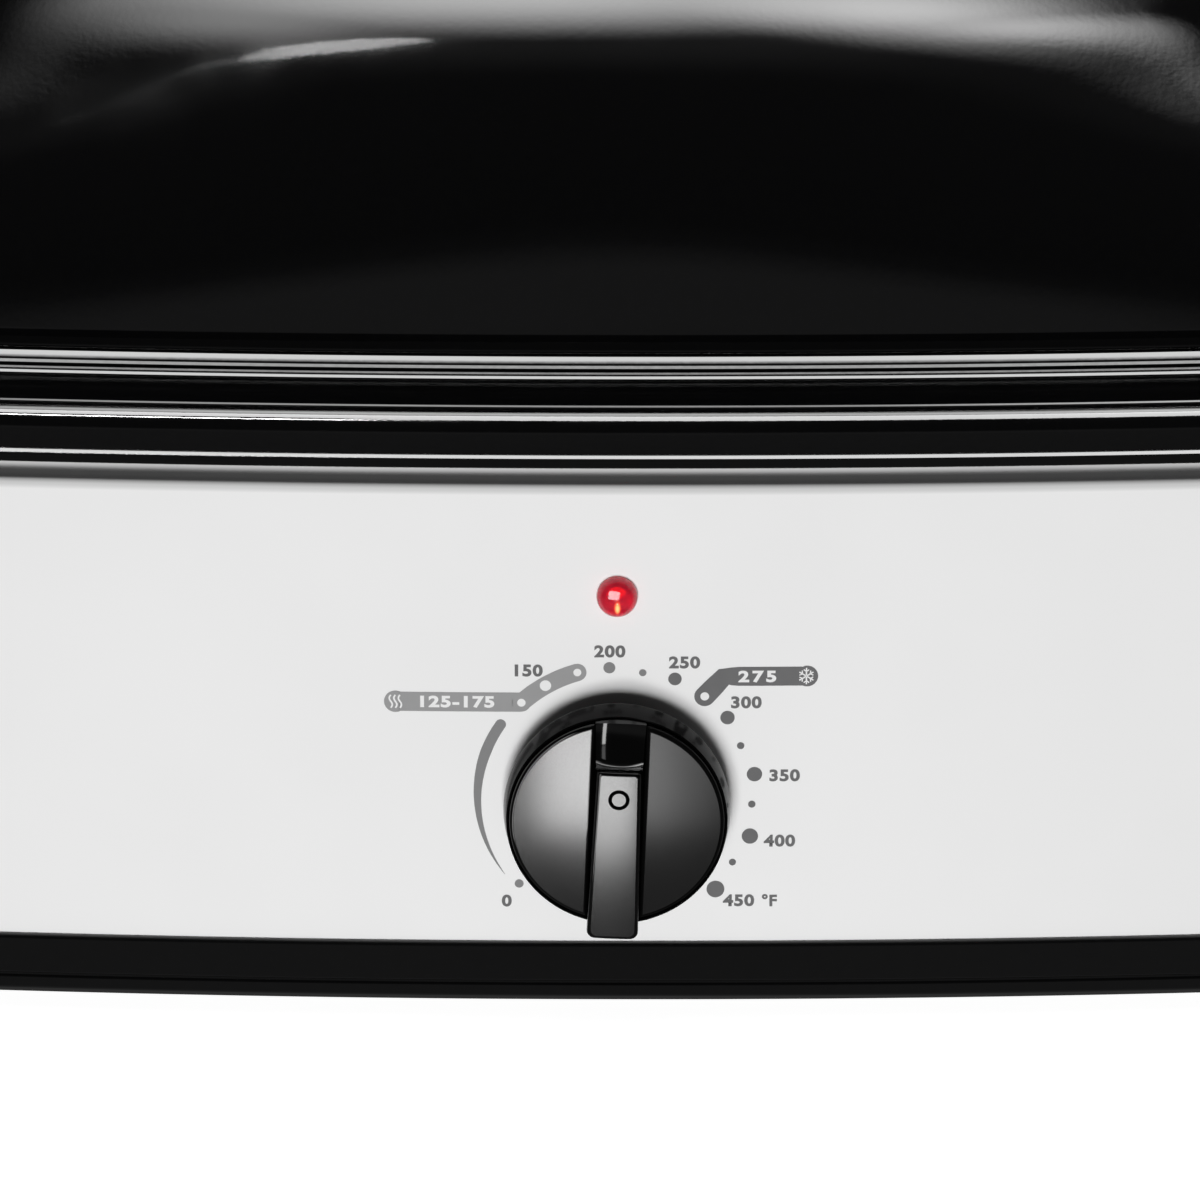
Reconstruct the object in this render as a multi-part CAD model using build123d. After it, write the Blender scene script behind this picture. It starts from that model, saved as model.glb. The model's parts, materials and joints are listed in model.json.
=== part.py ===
from build123d import *
import os
import math

# Electric roaster oven, about 18 quarts: a white sheet-steel housing on a black moulded base,
# a black enamelled heat well with a wrap-around element, a lift-out enamelled pan with a wire
# rack, and a high domed lid on two rear hinges.
# Millimetres. X to the right, Y to the back, Z up. Origin on the table under the centre of the body.
# "u" is the distance outward from the housing's upright face, negative towards the cavity.

# ---------------------------------------------------------------- driving dimensions
A0, B0 = 252.0, 184.0            # half width and half depth of the housing's upright face
RF, RE, RC = 1880.0, 620.0, 112.0  # plan radii: front/back bow, end bow, corner
FOOT_H = 3.4                     # gap under the base skirt
BASE_TOP = 17.7
LIP_U, LIP_Z = 5.8, 132.6        # flared lip at the top of the housing
COLLAR_TOP = 144.3               # top of the heat well's collar
WELL_FLOOR = 33.0
PAN_TOP, PAN_FLOOR = 145.55, 37.0
LID_Z0 = 145.6                   # underside of the lid's rim
LID_T = 1.2                      # lid wall
KNOB_Z, LAMP_Z = 52.2, 100.5
KNOB_R = 25.4
KNOB_TURN = 2.2                  # degrees clockwise from upright at which the pointer rests
HINGE_X, HINGE_Y, HINGE_Z = 95.0, 202.4, 150.0
PIN_R = 2.0

# dome sections: z, half depth, half width, half angles of the front and end bows, corner radius
DOME = [
    (152.0, 162.5, 230.5, 0.0, 0.0, 90.5),
    (172.0, 161.4, 228.6, 6.6, 11.0, 93.0),
    (190.0, 157.8, 222.5, 12.5, 17.5, 108.0),
    (205.0, 150.2, 211.0, 19.5, 24.5, 128.0),
    (216.0, 140.5, 197.5, 23.0, 28.0, 134.0),
    (226.0, 124.0, 177.0, 25.0, 30.0, 126.0),
    (234.0, 101.0, 150.5, 26.0, 31.0, 106.0),
    (240.0, 73.0, 118.0, 27.0, 31.0, 82.0),
    (243.5, 48.0, 88.0, 27.0, 30.0, 58.0),
    (244.6, 34.0, 70.0, 27.0, 29.0, 43.0),
]


# ---------------------------------------------------------------- plan curve
def arcs(a, b, rf, re, rc):
    """Eight arcs of the plan, anticlockwise from the front bow: (cx, cy, radius, from, to) in degrees."""
    fx, fy = 0.0, -b + rf
    ex, ey = a - re, 0.0
    r1, r2 = rf - rc, re - rc
    dx, dy = ex - fx, ey - fy
    d = math.hypot(dx, dy)
    k = (r1 * r1 - r2 * r2 + d * d) / (2 * d)
    h = math.sqrt(max(r1 * r1 - k * k, 0.0))
    best = None
    for s in (1, -1):
        px = fx + k * dx / d - s * h * dy / d
        py = fy + k * dy / d + s * h * dx / d
        if px > 0 and py < 0:
            best = (px, py)
    cx, cy = best
    al = 90 + math.degrees(math.atan2(cy - fy, cx - fx))
    be = -math.degrees(math.atan2(cy - ey, cx - ex))
    return [
        (0.0, fy, rf, -90 - al, -90 + al),
        (cx, cy, rc, -90 + al, -be),
        (ex, 0.0, re, -be, be),
        (cx, -cy, rc, be, 90 - al),
        (0.0, -fy, rf, 90 - al, 90 + al),
        (-cx, -cy, rc, 90 + al, 180 - be),
        (-ex, 0.0, re, 180 - be, 180 + be),
        (-cx, cy, rc, 180 + be, 270 - al),
    ]


PLAN = arcs(A0, B0, RF, RE, RC)


def plan_wire(z, u=0.0, plan=PLAN):
    edges = []
    for cx, cy, r, t0, t1 in plan:
        q = [math.radians(t) for t in (t0, (t0 + t1) / 2, t1)]
        p = [(cx + (r + u) * math.cos(t), cy + (r + u) * math.sin(t), z) for t in q]
        edges.append(Edge.make_three_point_arc(*p))
    return Wire(edges)


def plan_face(z, u=0.0):
    return Face(plan_wire(z, u))


def plate(z0, z1, u):
    return extrude(plan_face(z0, u), z1 - z0, dir=(0, 0, 1))


def plan_y(x, u=0.0):
    """Half depth of the plan, offset by u, at x."""
    x = abs(x)
    cx, cy, r, t0, t1 = PLAN[1]
    fx, fy, fr, _, _ = PLAN[0]
    xt = (fr + u) * math.cos(math.radians(t0))
    if x <= xt:
        return -(fy - math.sqrt((fr + u) ** 2 - x * x))
    return -(cy - math.sqrt(max((r + u) ** 2 - (x - cx) ** 2, 0.0)))


def plan_x(y, u=0.0):
    ex, _, er, _, _ = PLAN[2]
    return ex + math.sqrt((er + u) ** 2 - y * y)


def outline(pts):
    """Closed outline through (u, z[, radius]) points, as a list of 2-D lines and arcs."""
    n = len(pts)
    corners = []
    for i in range(n):
        p = pts[i]
        r = p[2] if len(p) > 2 else 0.0
        a, c = pts[i - 1], pts[(i + 1) % n]
        if r <= 0:
            corners.append(((p[0], p[1]), None, (p[0], p[1])))
            continue
        v1 = (a[0] - p[0], a[1] - p[1])
        v2 = (c[0] - p[0], c[1] - p[1])
        l1, l2 = math.hypot(*v1), math.hypot(*v2)
        v1 = (v1[0] / l1, v1[1] / l1)
        v2 = (v2[0] / l2, v2[1] / l2)
        ang = math.acos(max(-1, min(1, v1[0] * v2[0] + v1[1] * v2[1])))
        t = r / math.tan(ang / 2)
        bis = (v1[0] + v2[0], v1[1] + v2[1])
        lb = math.hypot(*bis)
        dc = r / math.sin(ang / 2)
        c0 = (p[0] + bis[0] / lb * dc, p[1] + bis[1] / lb * dc)
        m = (c0[0] - bis[0] / lb * r, c0[1] - bis[1] / lb * r)
        corners.append(((p[0] + v1[0] * t, p[1] + v1[1] * t), m, (p[0] + v2[0] * t, p[1] + v2[1] * t)))
    return corners


def outline_face(pts, radius):
    """The outline as a face in the XZ plane, u measured from x = radius."""
    cs = outline(pts)
    edges = []
    n = len(cs)
    for i in range(n):
        s, m, e = cs[i]
        if m is not None:
            edges.append(Edge.make_three_point_arc((radius + s[0], 0, s[1]), (radius + m[0], 0, m[1]), (radius + e[0], 0, e[1])))
        nx = cs[(i + 1) % n][0]
        if math.hypot(nx[0] - e[0], nx[1] - e[1]) > 1e-6:
            edges.append(Edge.make_line((radius + e[0], 0, e[1]), (radius + nx[0], 0, nx[1])))
    return Face(Wire(edges))


def ring(pts):
    """Closed ring whose section is the outline and whose plan follows the plan curve."""
    out = []
    for cx, cy, r, t0, t1 in PLAN:
        f = outline_face(pts, r).rotate(Axis.Z, t0)
        s = revolve(f, axis=Axis.Z, revolution_arc=t1 - t0)
        out.append(Pos(cx, cy, 0) * s)
    return out[0] + out[1:]


def rod(p, q, r):
    """Round bar from p to q."""
    p, q = Vector(*p), Vector(*q)
    d = q - p
    return extrude(Plane(origin=p, z_dir=d) * Circle(r), d.length)


def hole_y(x, z, r, y0, y1):
    return rod((x, y0, z), (x, y1, z), r)


def box(x0, x1, y0, y1, z0, z1):
    return Pos((x0 + x1) / 2, (y0 + y1) / 2, (z0 + z1) / 2) * Box(x1 - x0, y1 - y0, z1 - z0)


NODES = {}


def keep(name, shape):
    NODES[name] = shape


def single(shape):
    s = shape.solids()
    return s[0] if len(s) == 1 else max(s, key=lambda k: k.volume)


# ---------------------------------------------------------------- base
base_skirt = ring([
    (0.08, 17.7), (1.6, 17.7, 1.0), (1.6, 8.8, 0.35), (0.9, 8.4, 0.15), (0.9, 7.9, 0.15), (1.35, 7.5, 0.3),
    (1.35, 5.0, 1.0), (-0.2, 3.4, 0.6), (-13.0, 3.4), (-13.0, 6.0), (-1.4, 6.0), (-1.4, 13.4), (0.08, 13.4),
])
SCREW_XY = []
for sx in (-1, 1):
    for sy in (-1, 1):
        SCREW_XY.append((sx * 95.0, sy * plan_y(95.0, -8.0)))
    SCREW_XY.append((sx * plan_x(0.0, -8.0), 0.0))
base_screws = []
bottom_plate = plate(6.0, 6.8, -3.0)
for x, y in SCREW_XY:
    base_skirt -= rod((x, y, 3.0), (x, y, 5.0), 3.4)
    base_skirt -= rod((x, y, 3.0), (x, y, 7.0), 1.6)
    bottom_plate -= rod((x, y, 5.0), (x, y, 8.0), 1.6)
    s = rod((x, y, 3.6), (x, y, 5.0), 3.1) + rod((x, y, 5.0), (x, y, 9.2), 1.5)
    s -= box(x - 2.2, x + 2.2, y - 0.35, y + 0.35, 3.5, 4.3) + box(x - 0.35, x + 0.35, y - 2.2, y + 2.2, 3.5, 4.3)
    base_screws.append(s)
keep("base_skirt", base_skirt)

FEET = {"front_left": (-172, -118), "front_right": (172, -118), "rear_left": (-172, 118), "rear_right": (172, 118)}
for name, (x, y) in FEET.items():
    bottom_plate -= rod((x, y, 5.0), (x, y, 8.0), 3.6)
    section = outline_face([(0, 0), (9.4, 0, 0.8), (11.0, 5.95, 0.5), (3.45, 5.95), (3.45, 6.85), (5.2, 6.85, 0.3), (3.6, 9.4, 0.5), (0, 9.4)], 0.0)
    keep("foot_" + name, Pos(x, y, 0) * revolve(section, axis=Axis.Z))
for i in range(7):
    for sy in (-1, 1):
        x = -90 + 30 * i
        slot = extrude(Pos(x, sy * 62, 5.0) * SlotOverall(34, 4.0, rotation=90), 3.0)
        bottom_plate -= slot
bottom_plate -= rod((0, 0, 5.0), (0, 0, 8.0), 3.2)
keep("bottom_plate", bottom_plate)
keep("base_screws", base_screws)

# ---------------------------------------------------------------- housing
housing = ring([
    (0.0, 13.5), (0.0, 126.2, 3.0), (LIP_U, 131.2, 0.8), (LIP_U, LIP_Z, 0.6), (-9.0, LIP_Z), (-9.0, LIP_Z - 0.9),
    (-0.9, LIP_Z - 0.9), (-0.9, 13.5),
])
housing -= hole_y(0, KNOB_Z, 5.2, -B0 - 10, -B0 + 10)
housing -= hole_y(0, LAMP_Z, 4.1, -B0 - 10, -B0 + 10)
for sx in (-1, 1):
    housing -= hole_y(sx * 16, KNOB_Z, 1.9, -B0 - 10, -B0 + 10)
CORD_X, CORD_Z = 150.0, 32.0
cord_y = plan_y(CORD_X)
housing -= hole_y(CORD_X, CORD_Z, 8.0, cord_y - 14, cord_y + 14)
HANDLE_Z, HANDLE_Y = 103.0, 52.0
for sx in (-1, 1):
    for sy in (-1, 1):
        housing -= rod((sx * (A0 - 20), sy * HANDLE_Y, HANDLE_Z), (sx * (A0 + 8), sy * HANDLE_Y, HANDLE_Z), 2.3)
for sx in (-1, 1):
    for z in (107.0, 119.0):
        housing -= hole_y(sx * HINGE_X, z, 2.05, B0 - 16, B0 + 8)
keep("housing", housing)

body_volume = plate(13.5, 131.0, 0.0)      # solid filling of the housing, for trimming what sits against it

# ---------------------------------------------------------------- heat well
W = 4.0 / 111.0                            # draft of the well's wall


def well_u(z):
    return -22.0 - (COLLAR_TOP - z) * W


heat_well = ring([
    (1.9, 132.8), (6.3, 132.8, 1.2), (7.5, 133.9, 1.0), (7.5, 135.1, 0.8), (6.8, 135.8, 0.5), (6.8, COLLAR_TOP, 5.0),
    (-23.0, COLLAR_TOP, 4.0), (well_u(WELL_FLOOR) - 1.0, WELL_FLOOR, 20.0), (-60.0, WELL_FLOOR),
    (-60.0, WELL_FLOOR - 1.0), (well_u(WELL_FLOOR), WELL_FLOOR - 1.0, 21.0), (-22.0, COLLAR_TOP - 1.0, 3.0),
    (5.8, COLLAR_TOP - 1.0, 4.0), (5.8, 133.8, 0.4), (1.9, 133.8),
])
heat_well += plate(WELL_FLOOR - 1.0, WELL_FLOOR, -60.0)
keep("heat_well", heat_well)

# tie stud, spacers, shield and nut
keep("tie_stud", rod((0, 0, 2.2), (0, 0, WELL_FLOOR - 1.0), 3.0))
nut = extrude(Pos(0, 0, 2.9) * RegularPolygon(5.0, 6), 3.0) - rod((0, 0, 2), (0, 0, 7), 3.05)
keep("tie_nut", nut)
spacer1 = rod((0, 0, 6.85), (0, 0, 17.95), 6.0) - rod((0, 0, 6), (0, 0, 19), 3.2)
spacer2 = rod((0, 0, 18.65), (0, 0, 31.95), 6.0) - rod((0, 0, 18), (0, 0, 33), 3.2)
keep("tie_spacers", [spacer1, spacer2])
shield = ring([(-33.0, 28.0), (-36.0, 18.0, 2.0), (-60.0, 18.0), (-60.0, 18.6), (-36.4, 18.6, 1.6), (-33.7, 28.0)])
shield += plate(18.0, 18.6, -60.0)
shield -= rod((0, 0, 17), (0, 0, 20), 3.2)
keep("heat_shield", shield)

# wrap-around element and blanket
h0, h1 = 60.0, 108.0
keep("heater_band", ring([(well_u(h0) + 0.15, h0), (well_u(h1) + 0.15, h1), (well_u(h1) + 2.5, h1, 0.6), (well_u(h0) + 2.5, h0, 0.6)]))
b0, b1 = 62.0, 112.0
keep("insulation_blanket", ring([(well_u(b0) + 2.7, b0), (well_u(b1) + 2.7, b1), (well_u(b1) + 6.6, b1, 1.2), (well_u(b0) + 6.6, b0, 1.2)]))
terminals = []
for x in (120.0, 138.0):
    y = plan_y(x, well_u(h0) + 1.3)
    terminals.append(box(x - 3.2, x + 3.2, y - 0.45, y + 0.45, h0 - 12.0, h0 - 0.02))
keep("heater_terminals", terminals)

# ---------------------------------------------------------------- thermostat, behind the knob
bracket = box(-27, 27, -182.75, -181.55, KNOB_Z - 13, KNOB_Z + 13)
bracket = fillet(bracket.edges().filter_by(Axis.Y), 3.0)
bracket -= hole_y(0, KNOB_Z, 5.0, -190, -175)
for sx in (-1, 1):
    bracket -= hole_y(sx * 16, KNOB_Z, 1.7, -190, -175)
keep("thermostat_bracket", bracket)
tbody = box(-13.5, 13.5, -181.5, -168.6, KNOB_Z - 17, KNOB_Z + 17)
tbody = fillet(tbody.edges().filter_by(Axis.Y), 2.0)
tbody += hole_y(0, KNOB_Z, 4.5, -181.5, -185.4)
tbody -= hole_y(0, KNOB_Z, 3.08, -186.5, -172.0)
keep("thermostat_body", tbody)
blades = [box(x - 3.15, x + 3.15, -176.0, -175.2, KNOB_Z - 25.0, KNOB_Z - 17.02) for x in (-8.0, 8.0)]
keep("thermostat_terminals", blades)
tscrews = []
for sx in (-1, 1):
    yf = -plan_y(16.0) - 0.02
    s = hole_y(sx * 16, KNOB_Z, 3.0, yf, yf - 1.4) + hole_y(sx * 16, KNOB_Z, 1.6, yf, -178.2)
    tscrews.append(s)
keep("thermostat_screws", tscrews)
shaft = hole_y(0, KNOB_Z, 3.0, -172.6, -199.0)
shaft -= box(-4, 4, -199.5, -190.0, KNOB_Z + 1.6, KNOB_Z + 4)
shaft = shaft.rotate(Axis((0, 0, KNOB_Z), (0, 1, 0)), KNOB_TURN)
keep("thermostat_shaft", shaft)

# ---------------------------------------------------------------- control knob (axis along Y, front at -Y)
# local frame: origin on the panel, +Z of the sketch outwards; built along +Z then turned to face -Y
H_RIM, H_BASE, SLANT = 15.05, 1.5, 7.3
disc_section = outline_face([(0, H_BASE), (KNOB_R - 0.1, H_BASE, 0.4), (24.5, 24.0), (0, 24.0)], 0.0)
disc = revolve(disc_section, axis=Axis.Z)
# shallow dome on a front that slopes down away from the pointer
R_D = 130.0
ball = Pos(0, 0, H_RIM) * (Rot(SLANT, 0, 0) * (Pos(0, 0, 2.3 - R_D) * Sphere(R_D)))
disc = disc & ball
try:
    disc = fillet([e for e in disc.edges() if e.center().Z > 10 and e.length > 100], 1.0)
except Exception as err:
    print("knob fillet", err)
slot = extrude(Plane.XY.offset(7.0) * Polygon((-6.5, 27), (-6.1, -27), (6.1, -27), (6.5, 27), align=None), 20)
knob = disc - slot
# pointer end: ramp that fills the slot from the rim up to the bar
ramp_side = Plane.YZ.offset(-6.45) * make_face(Polyline((13.0, 6.0), (24.6, 6.0), (24.6, 16.6), (23.6, 17.6), (19.5, 18.0), (16.0, 19.4), (13.0, 21.6), (13.0, 6.0)))
ramp = extrude(ramp_side, 12.9, dir=(1, 0, 0))
limit = Pos(0, 0, 0) * Cylinder(24.5, 40, align=(Align.CENTER, Align.CENTER, Align.MIN))
knob += ramp & limit
# grip bar
bar_side = Plane.YZ.offset(-8.0) * make_face(
    Polyline((13.6, 6.0), (13.6, 22.6)) + ThreePointArc((13.6, 22.6), (-5.0, 23.9), (-25.4, 22.2)) + Polyline((-25.4, 22.2), (-25.0, 6.0), (13.6, 6.0))
)
bar = extrude(bar_side, 16.0, dir=(1, 0, 0))
bar_plan = extrude(Plane.XY.offset(0) * Polygon((-4.75, 13.7), (-5.65, -26.0), (5.65, -26.0), (4.75, 13.7), align=None), 40)
bar = bar & bar_plan
try:
    top_edges = [e for e in bar.edges() if e.center().Z > 20.5]
    bar = fillet(top_edges, 0.9)
except Exception:
    pass
knob += bar
knob -= Pos(0, 0, 21.2) * (Cylinder(2.15, 6, align=(Align.CENTER, Align.CENTER, Align.MIN)) - Cylinder(1.55, 6, align=(Align.CENTER, Align.CENTER, Align.MIN))).moved(Location((0, 9.6, 0)))
# shaft socket with a flat, and a relief at the back for the bushing and screw heads
knob -= Cylinder(8.0, 2.6, align=(Align.CENTER, Align.CENTER, Align.MIN)).moved(Location((0, 0, 1.0)))
knob -= (Cylinder(20.5, 2.4, align=(Align.CENTER, Align.CENTER, Align.MIN)) - Cylinder(11.5, 2.4, align=(Align.CENTER, Align.CENTER, Align.MIN))).moved(Location((0, 0, 1.2)))
socket = Cylinder(3.05, 15.5, align=(Align.CENTER, Align.CENTER, Align.MIN)) - Pos(0, 1.65 + 3, 8.0) * Box(10, 6, 20, align=(Align.CENTER, Align.CENTER, Align.MIN))
knob -= socket
clip_pocket = Cylinder(5.2, 1.6, align=(Align.CENTER, Align.CENTER, Align.MIN)).moved(Location((0, 0, 3.6)))
knob -= clip_pocket
clip = (Cylinder(5.1, 1.2, align=(Align.CENTER, Align.CENTER, Align.MIN)) - Cylinder(3.1, 1.2, align=(Align.CENTER, Align.CENTER, Align.MIN))).moved(Location((0, 0, 3.8)))
TO_FRONT = Location((0, -B0, KNOB_Z), (1, 0, 0), 90)


def on_front(s):
    s = TO_FRONT * s
    return s.rotate(Axis((0, 0, KNOB_Z), (0, 1, 0)), KNOB_TURN)


keep("control_knob", on_front(knob))
keep("knob_clip", on_front(clip))

# ---------------------------------------------------------------- indicator
lens = outline_face([(0, 0), (4.0, 0), (4.0, 2.6), (4.62, 2.6, 0.15), (4.62, 3.3, 0.2), (0, 3.3)], 0.0)
lens = revolve(lens, axis=Axis.Z)
lens_ball = Pos(0, 0, 3.25) * Sphere(4.45)
lens += lens_ball & (Pos(0, 0, 3.2) * Cylinder(6, 6, align=(Align.CENTER, Align.CENTER, Align.MIN)))
lens -= Cylinder(2.5, 4.6, align=(Align.CENTER, Align.CENTER, Align.MIN)).moved(Location((0, 0, -0.1)))
LAMP_AT = Location((0, -B0 + 2.58, LAMP_Z), (1, 0, 0), 90)
keep("indicator_lens", LAMP_AT * lens)
bulb = Cylinder(1.7, 7.0, align=(Align.CENTER, Align.CENTER, Align.MIN)).moved(Location((0, 0, -5.0)))
bulb += Pos(0, 0, 2.0) * (Sphere(1.7) & (Pos(0, 0, 3) * Box(6, 6, 6)))
keep("neon_lamp", LAMP_AT * bulb)
push_nut = (Cylinder(6.6, 0.5, align=(Align.CENTER, Align.CENTER, Align.MIN)) - Cylinder(4.03, 0.5, align=(Align.CENTER, Align.CENTER, Align.MIN))).moved(Location((0, 0, 1.1)))
keep("lens_push_nut", LAMP_AT * push_nut)

# ---------------------------------------------------------------- cord inlet, terminal block, fuse, leads
gy = plan_y(CORD_X)
gf = plan_y(CORD_X - 10.5) + 0.3
gland = hole_y(CORD_X, CORD_Z, 7.6, gy - 9.0, gf) + hole_y(CORD_X, CORD_Z, 10.5, gf, gf + 3.4) + hole_y(CORD_X, CORD_Z, 6.4, gf + 3.4, gf + 11.0)
gland -= hole_y(CORD_X, CORD_Z, 3.7, gy - 12, gy + 16)
keep("cord_gland", gland)
gnut = extrude(Plane(origin=(CORD_X, gy - 4.6, CORD_Z), z_dir=(0, -1, 0)) * RegularPolygon(11.0, 6), 4.0) - hole_y(CORD_X, CORD_Z, 7.65, gy - 12, gy + 2)
keep("gland_nut", gnut)
tb = box(96, 126, 150, 164, 6.85, 17.0)
tb = fillet(tb.edges().filter_by(Axis.Z), 1.5)
for x in (103.5, 118.5):
    tb -= rod((x, 157, 12), (x, 157, 18), 2.6)
keep("terminal_block", tb)
keep("terminal_screws", [rod((x, 157, 12.05), (x, 157, 16.2), 2.5) - box(x - 2.0, x + 2.0, 156.6, 157.4, 15.4, 16.4) for x in (103.5, 118.5)])


def lead(pts, r=1.3):
    radii = []
    for i in range(1, len(pts) - 1):
        a, p, c = Vector(*pts[i - 1]), Vector(*pts[i]), Vector(*pts[i + 1])
        v1, v2 = p - a, c - p
        turn = math.radians(v1.get_angle(v2))
        radii.append(0.45 * min(v1.length, v2.length) / math.tan(turn / 2))
    print("lead radii", [round(q, 1) for q in radii])
    path = FilletPolyline(*pts, radius=radii)
    w = path.wire() if hasattr(path, "wire") else path
    start = Plane(origin=w @ 0, z_dir=w % 0)
    return sweep(start * Circle(r), path=w)


leads = [
    lead([(103.5, 149.6, 10.0), (102.5, 134, 10.2), (70, 112, 10.6), (10, 98, 12.0), (-50, 56, 12.5), (-62, -20, 12.5), (-52, -100, 12.0), (-24, -150, 13.0), (-10.5, -166, 18.0), (-8.0, -173.6, 26.8)]),
    lead([(118.5, 164.4, 10.0), (118.6, 172.5, 10.3), (126.0, 173.0, 20.0), (134.5, 162.0, 34.0), (138.0, plan_y(138.0, well_u(h0) + 1.3), 47.2)]),
]
keep("lead_wires", leads)
yf = plan_y(78.0, well_u(58.5)) + 2.5
fuse = rod((78.0, yf, 56.0), (98.0, yf, 56.0), 2.2)
keep("thermal_fuse", fuse)

# ---------------------------------------------------------------- side handles
def side_handle(sx):
    outer = [(-64, 0), (-64, 10), (-56, 34), (-44, 40.0), (44, 40.0), (56, 34), (64, 10), (64, 0)]
    pts = [(sx * (A0 - 6), -64)] + [(sx * (A0 + d), y) for y, d in outer[1:-1]] + [(sx * (A0 - 6), 64)]
    face = make_face(Polyline(*pts, close=True))
    s = extrude(Plane.XY.offset(HANDLE_Z - 9.5) * face, 19.0)
    s = fillet([e for e in s.edges().filter_by(Axis.Z) if abs(e.center().X) > A0 + 20], 9.0)
    gap = extrude(Plane.XY.offset(HANDLE_Z - 12) * (Pos(sx * (A0 + 14.5), 0) * RectangleRounded(21.0, 92.0, 6.0)), 24.0)
    s -= gap
    s = s - body_volume
    s = single(s)
    try:
        edges = [e for e in s.edges() if abs(abs(e.center().Z - HANDLE_Z) - 9.5) < 0.01 and abs(e.center().X) > A0 + 3.0]
        s = fillet(edges, 3.6)
    except Exception as err:
        print("handle fillet", err)
    for sy in (-1, 1):
        s -= rod((sx * (A0 - 8), sy * HANDLE_Y, HANDLE_Z), (sx * (A0 + 14), sy * HANDLE_Y, HANDLE_Z), 2.05)
    return s


keep("left_handle", side_handle(-1))
keep("right_handle", side_handle(1))
hscrews = []
for sx in (-1, 1):
    for sy in (-1, 1):
        xi = plan_x(HANDLE_Y + 3.9, -0.9) - 0.05
        s = rod((sx * xi, sy * HANDLE_Y, HANDLE_Z), (sx * (xi - 2.2), sy * HANDLE_Y, HANDLE_Z), 3.9)
        s += rod((sx * xi, sy * HANDLE_Y, HANDLE_Z), (sx * (A0 + 12.5), sy * HANDLE_Y, HANDLE_Z), 2.0)
        hscrews.append(s)
keep("handle_screws", hscrews)

# ---------------------------------------------------------------- lift-out pan
def pan_u(z):
    return -26.0 - (PAN_TOP - z) * 5.2 / 108.0


insert_pan = ring([
    (2.0, 144.35, 0.45), (2.0, PAN_TOP, 0.55), (-27.2, PAN_TOP, 5.0), (pan_u(PAN_FLOOR) - 1.2, PAN_FLOOR, 22.0), (-62.0, PAN_FLOOR),
    (-62.0, PAN_FLOOR - 1.2), (pan_u(PAN_FLOOR), PAN_FLOOR - 1.2, 23.2), (-26.0, 144.35, 3.8),
])
insert_pan += plate(PAN_FLOOR - 1.2, PAN_FLOOR, -62.0)
keep("insert_pan", insert_pan)

# ---------------------------------------------------------------- wire rack
RU = -52.0
hoop = None
for cx, cy, r, t0, t1 in PLAN:
    f = Face(Wire(Edge.make_circle(2.2, Plane(origin=(r + RU, 0, 45.0), z_dir=(0, 1, 0))))).rotate(Axis.Z, t0)
    s = Pos(cx, cy, 0) * revolve(f, axis=Axis.Z, revolution_arc=t1 - t0)
    hoop = s if hoop is None else hoop + s
grid = hoop
for i in range(13):
    x = -168.0 + 28.0 * i
    y = plan_y(x, RU + 0.6)
    grid += rod((x, -y, 48.1), (x, y, 48.1), 1.5)
for sy in (-1, 1):
    xe = plan_x(56.0, RU)
    grid += rod((-xe, sy * 56.0, 45.0), (xe, sy * 56.0, 45.0), 1.9)
for sx in (-1, 1):
    for sy in (-1, 1):
        x, y = sx * 112.0, sy * 56.0
        grid += rod((x, y, PAN_FLOOR + 0.02), (x, y, 45.0), 2.2)
keep("rack_grid", grid)
for sx, name in ((-1, "left"), (1, "right")):
    xh = plan_x(40.0, RU)
    pts = [(sx * xh, -40, 46.6), (sx * xh, -40, 70), (sx * (xh - 2), -40, 96), (sx * (xh - 2), 40, 96), (sx * xh, 40, 70), (sx * xh, 40, 46.6)]
    path = FilletPolyline(*[pts[i] for i in (0, 2, 3, 5)], radius=9.0)
    w = path.wire() if hasattr(path, "wire") else path
    keep("rack_handle_" + name, sweep(Plane(origin=w @ 0, z_dir=w % 0) * Circle(2.2), path=w))

# ---------------------------------------------------------------- lid
lid_rim = ring([
    (-21.5, 152.0), (-21.5, 149.8, 0.5), (-18.6, 149.8, 1.4), (-18.6, 147.55, 0.4), (-15.5, 146.95, 0.5), (-15.2, LID_Z0, 0.3),
    (-21.5 - LID_T, LID_Z0), (-21.5 - LID_T, 152.0),
])


def oval(a, b, al, be, rc):
    """Eight arcs of an oval with half sizes a and b, bow half angles al and be, and corner radius rc."""
    p, q, u = 1 - math.cos(be), math.sin(be), a + rc * (math.sin(al) - math.cos(be))
    m, n, v = math.sin(al), 1 - math.cos(al), b - rc * (math.cos(al) - math.sin(be))
    det = m * q - p * n
    rf, re = (u * q - p * v) / det, (m * v - n * u) / det
    cx, cy = (rf - rc) * math.sin(al), -b + rf - (rf - rc) * math.cos(al)
    al, be = math.degrees(al), math.degrees(be)
    return [
        (0.0, -b + rf, rf, -90 - al, -90 + al), (cx, cy, rc, -90 + al, -be), (a - re, 0.0, re, -be, be),
        (cx, -cy, rc, be, 90 - al), (0.0, b - rf, rf, 90 - al, 90 + al), (-cx, -cy, rc, 90 + al, 180 - be),
        (re - a, 0.0, re, 180 - be, 180 + be), (-cx, cy, rc, 180 + be, 270 - al),
    ]


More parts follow.
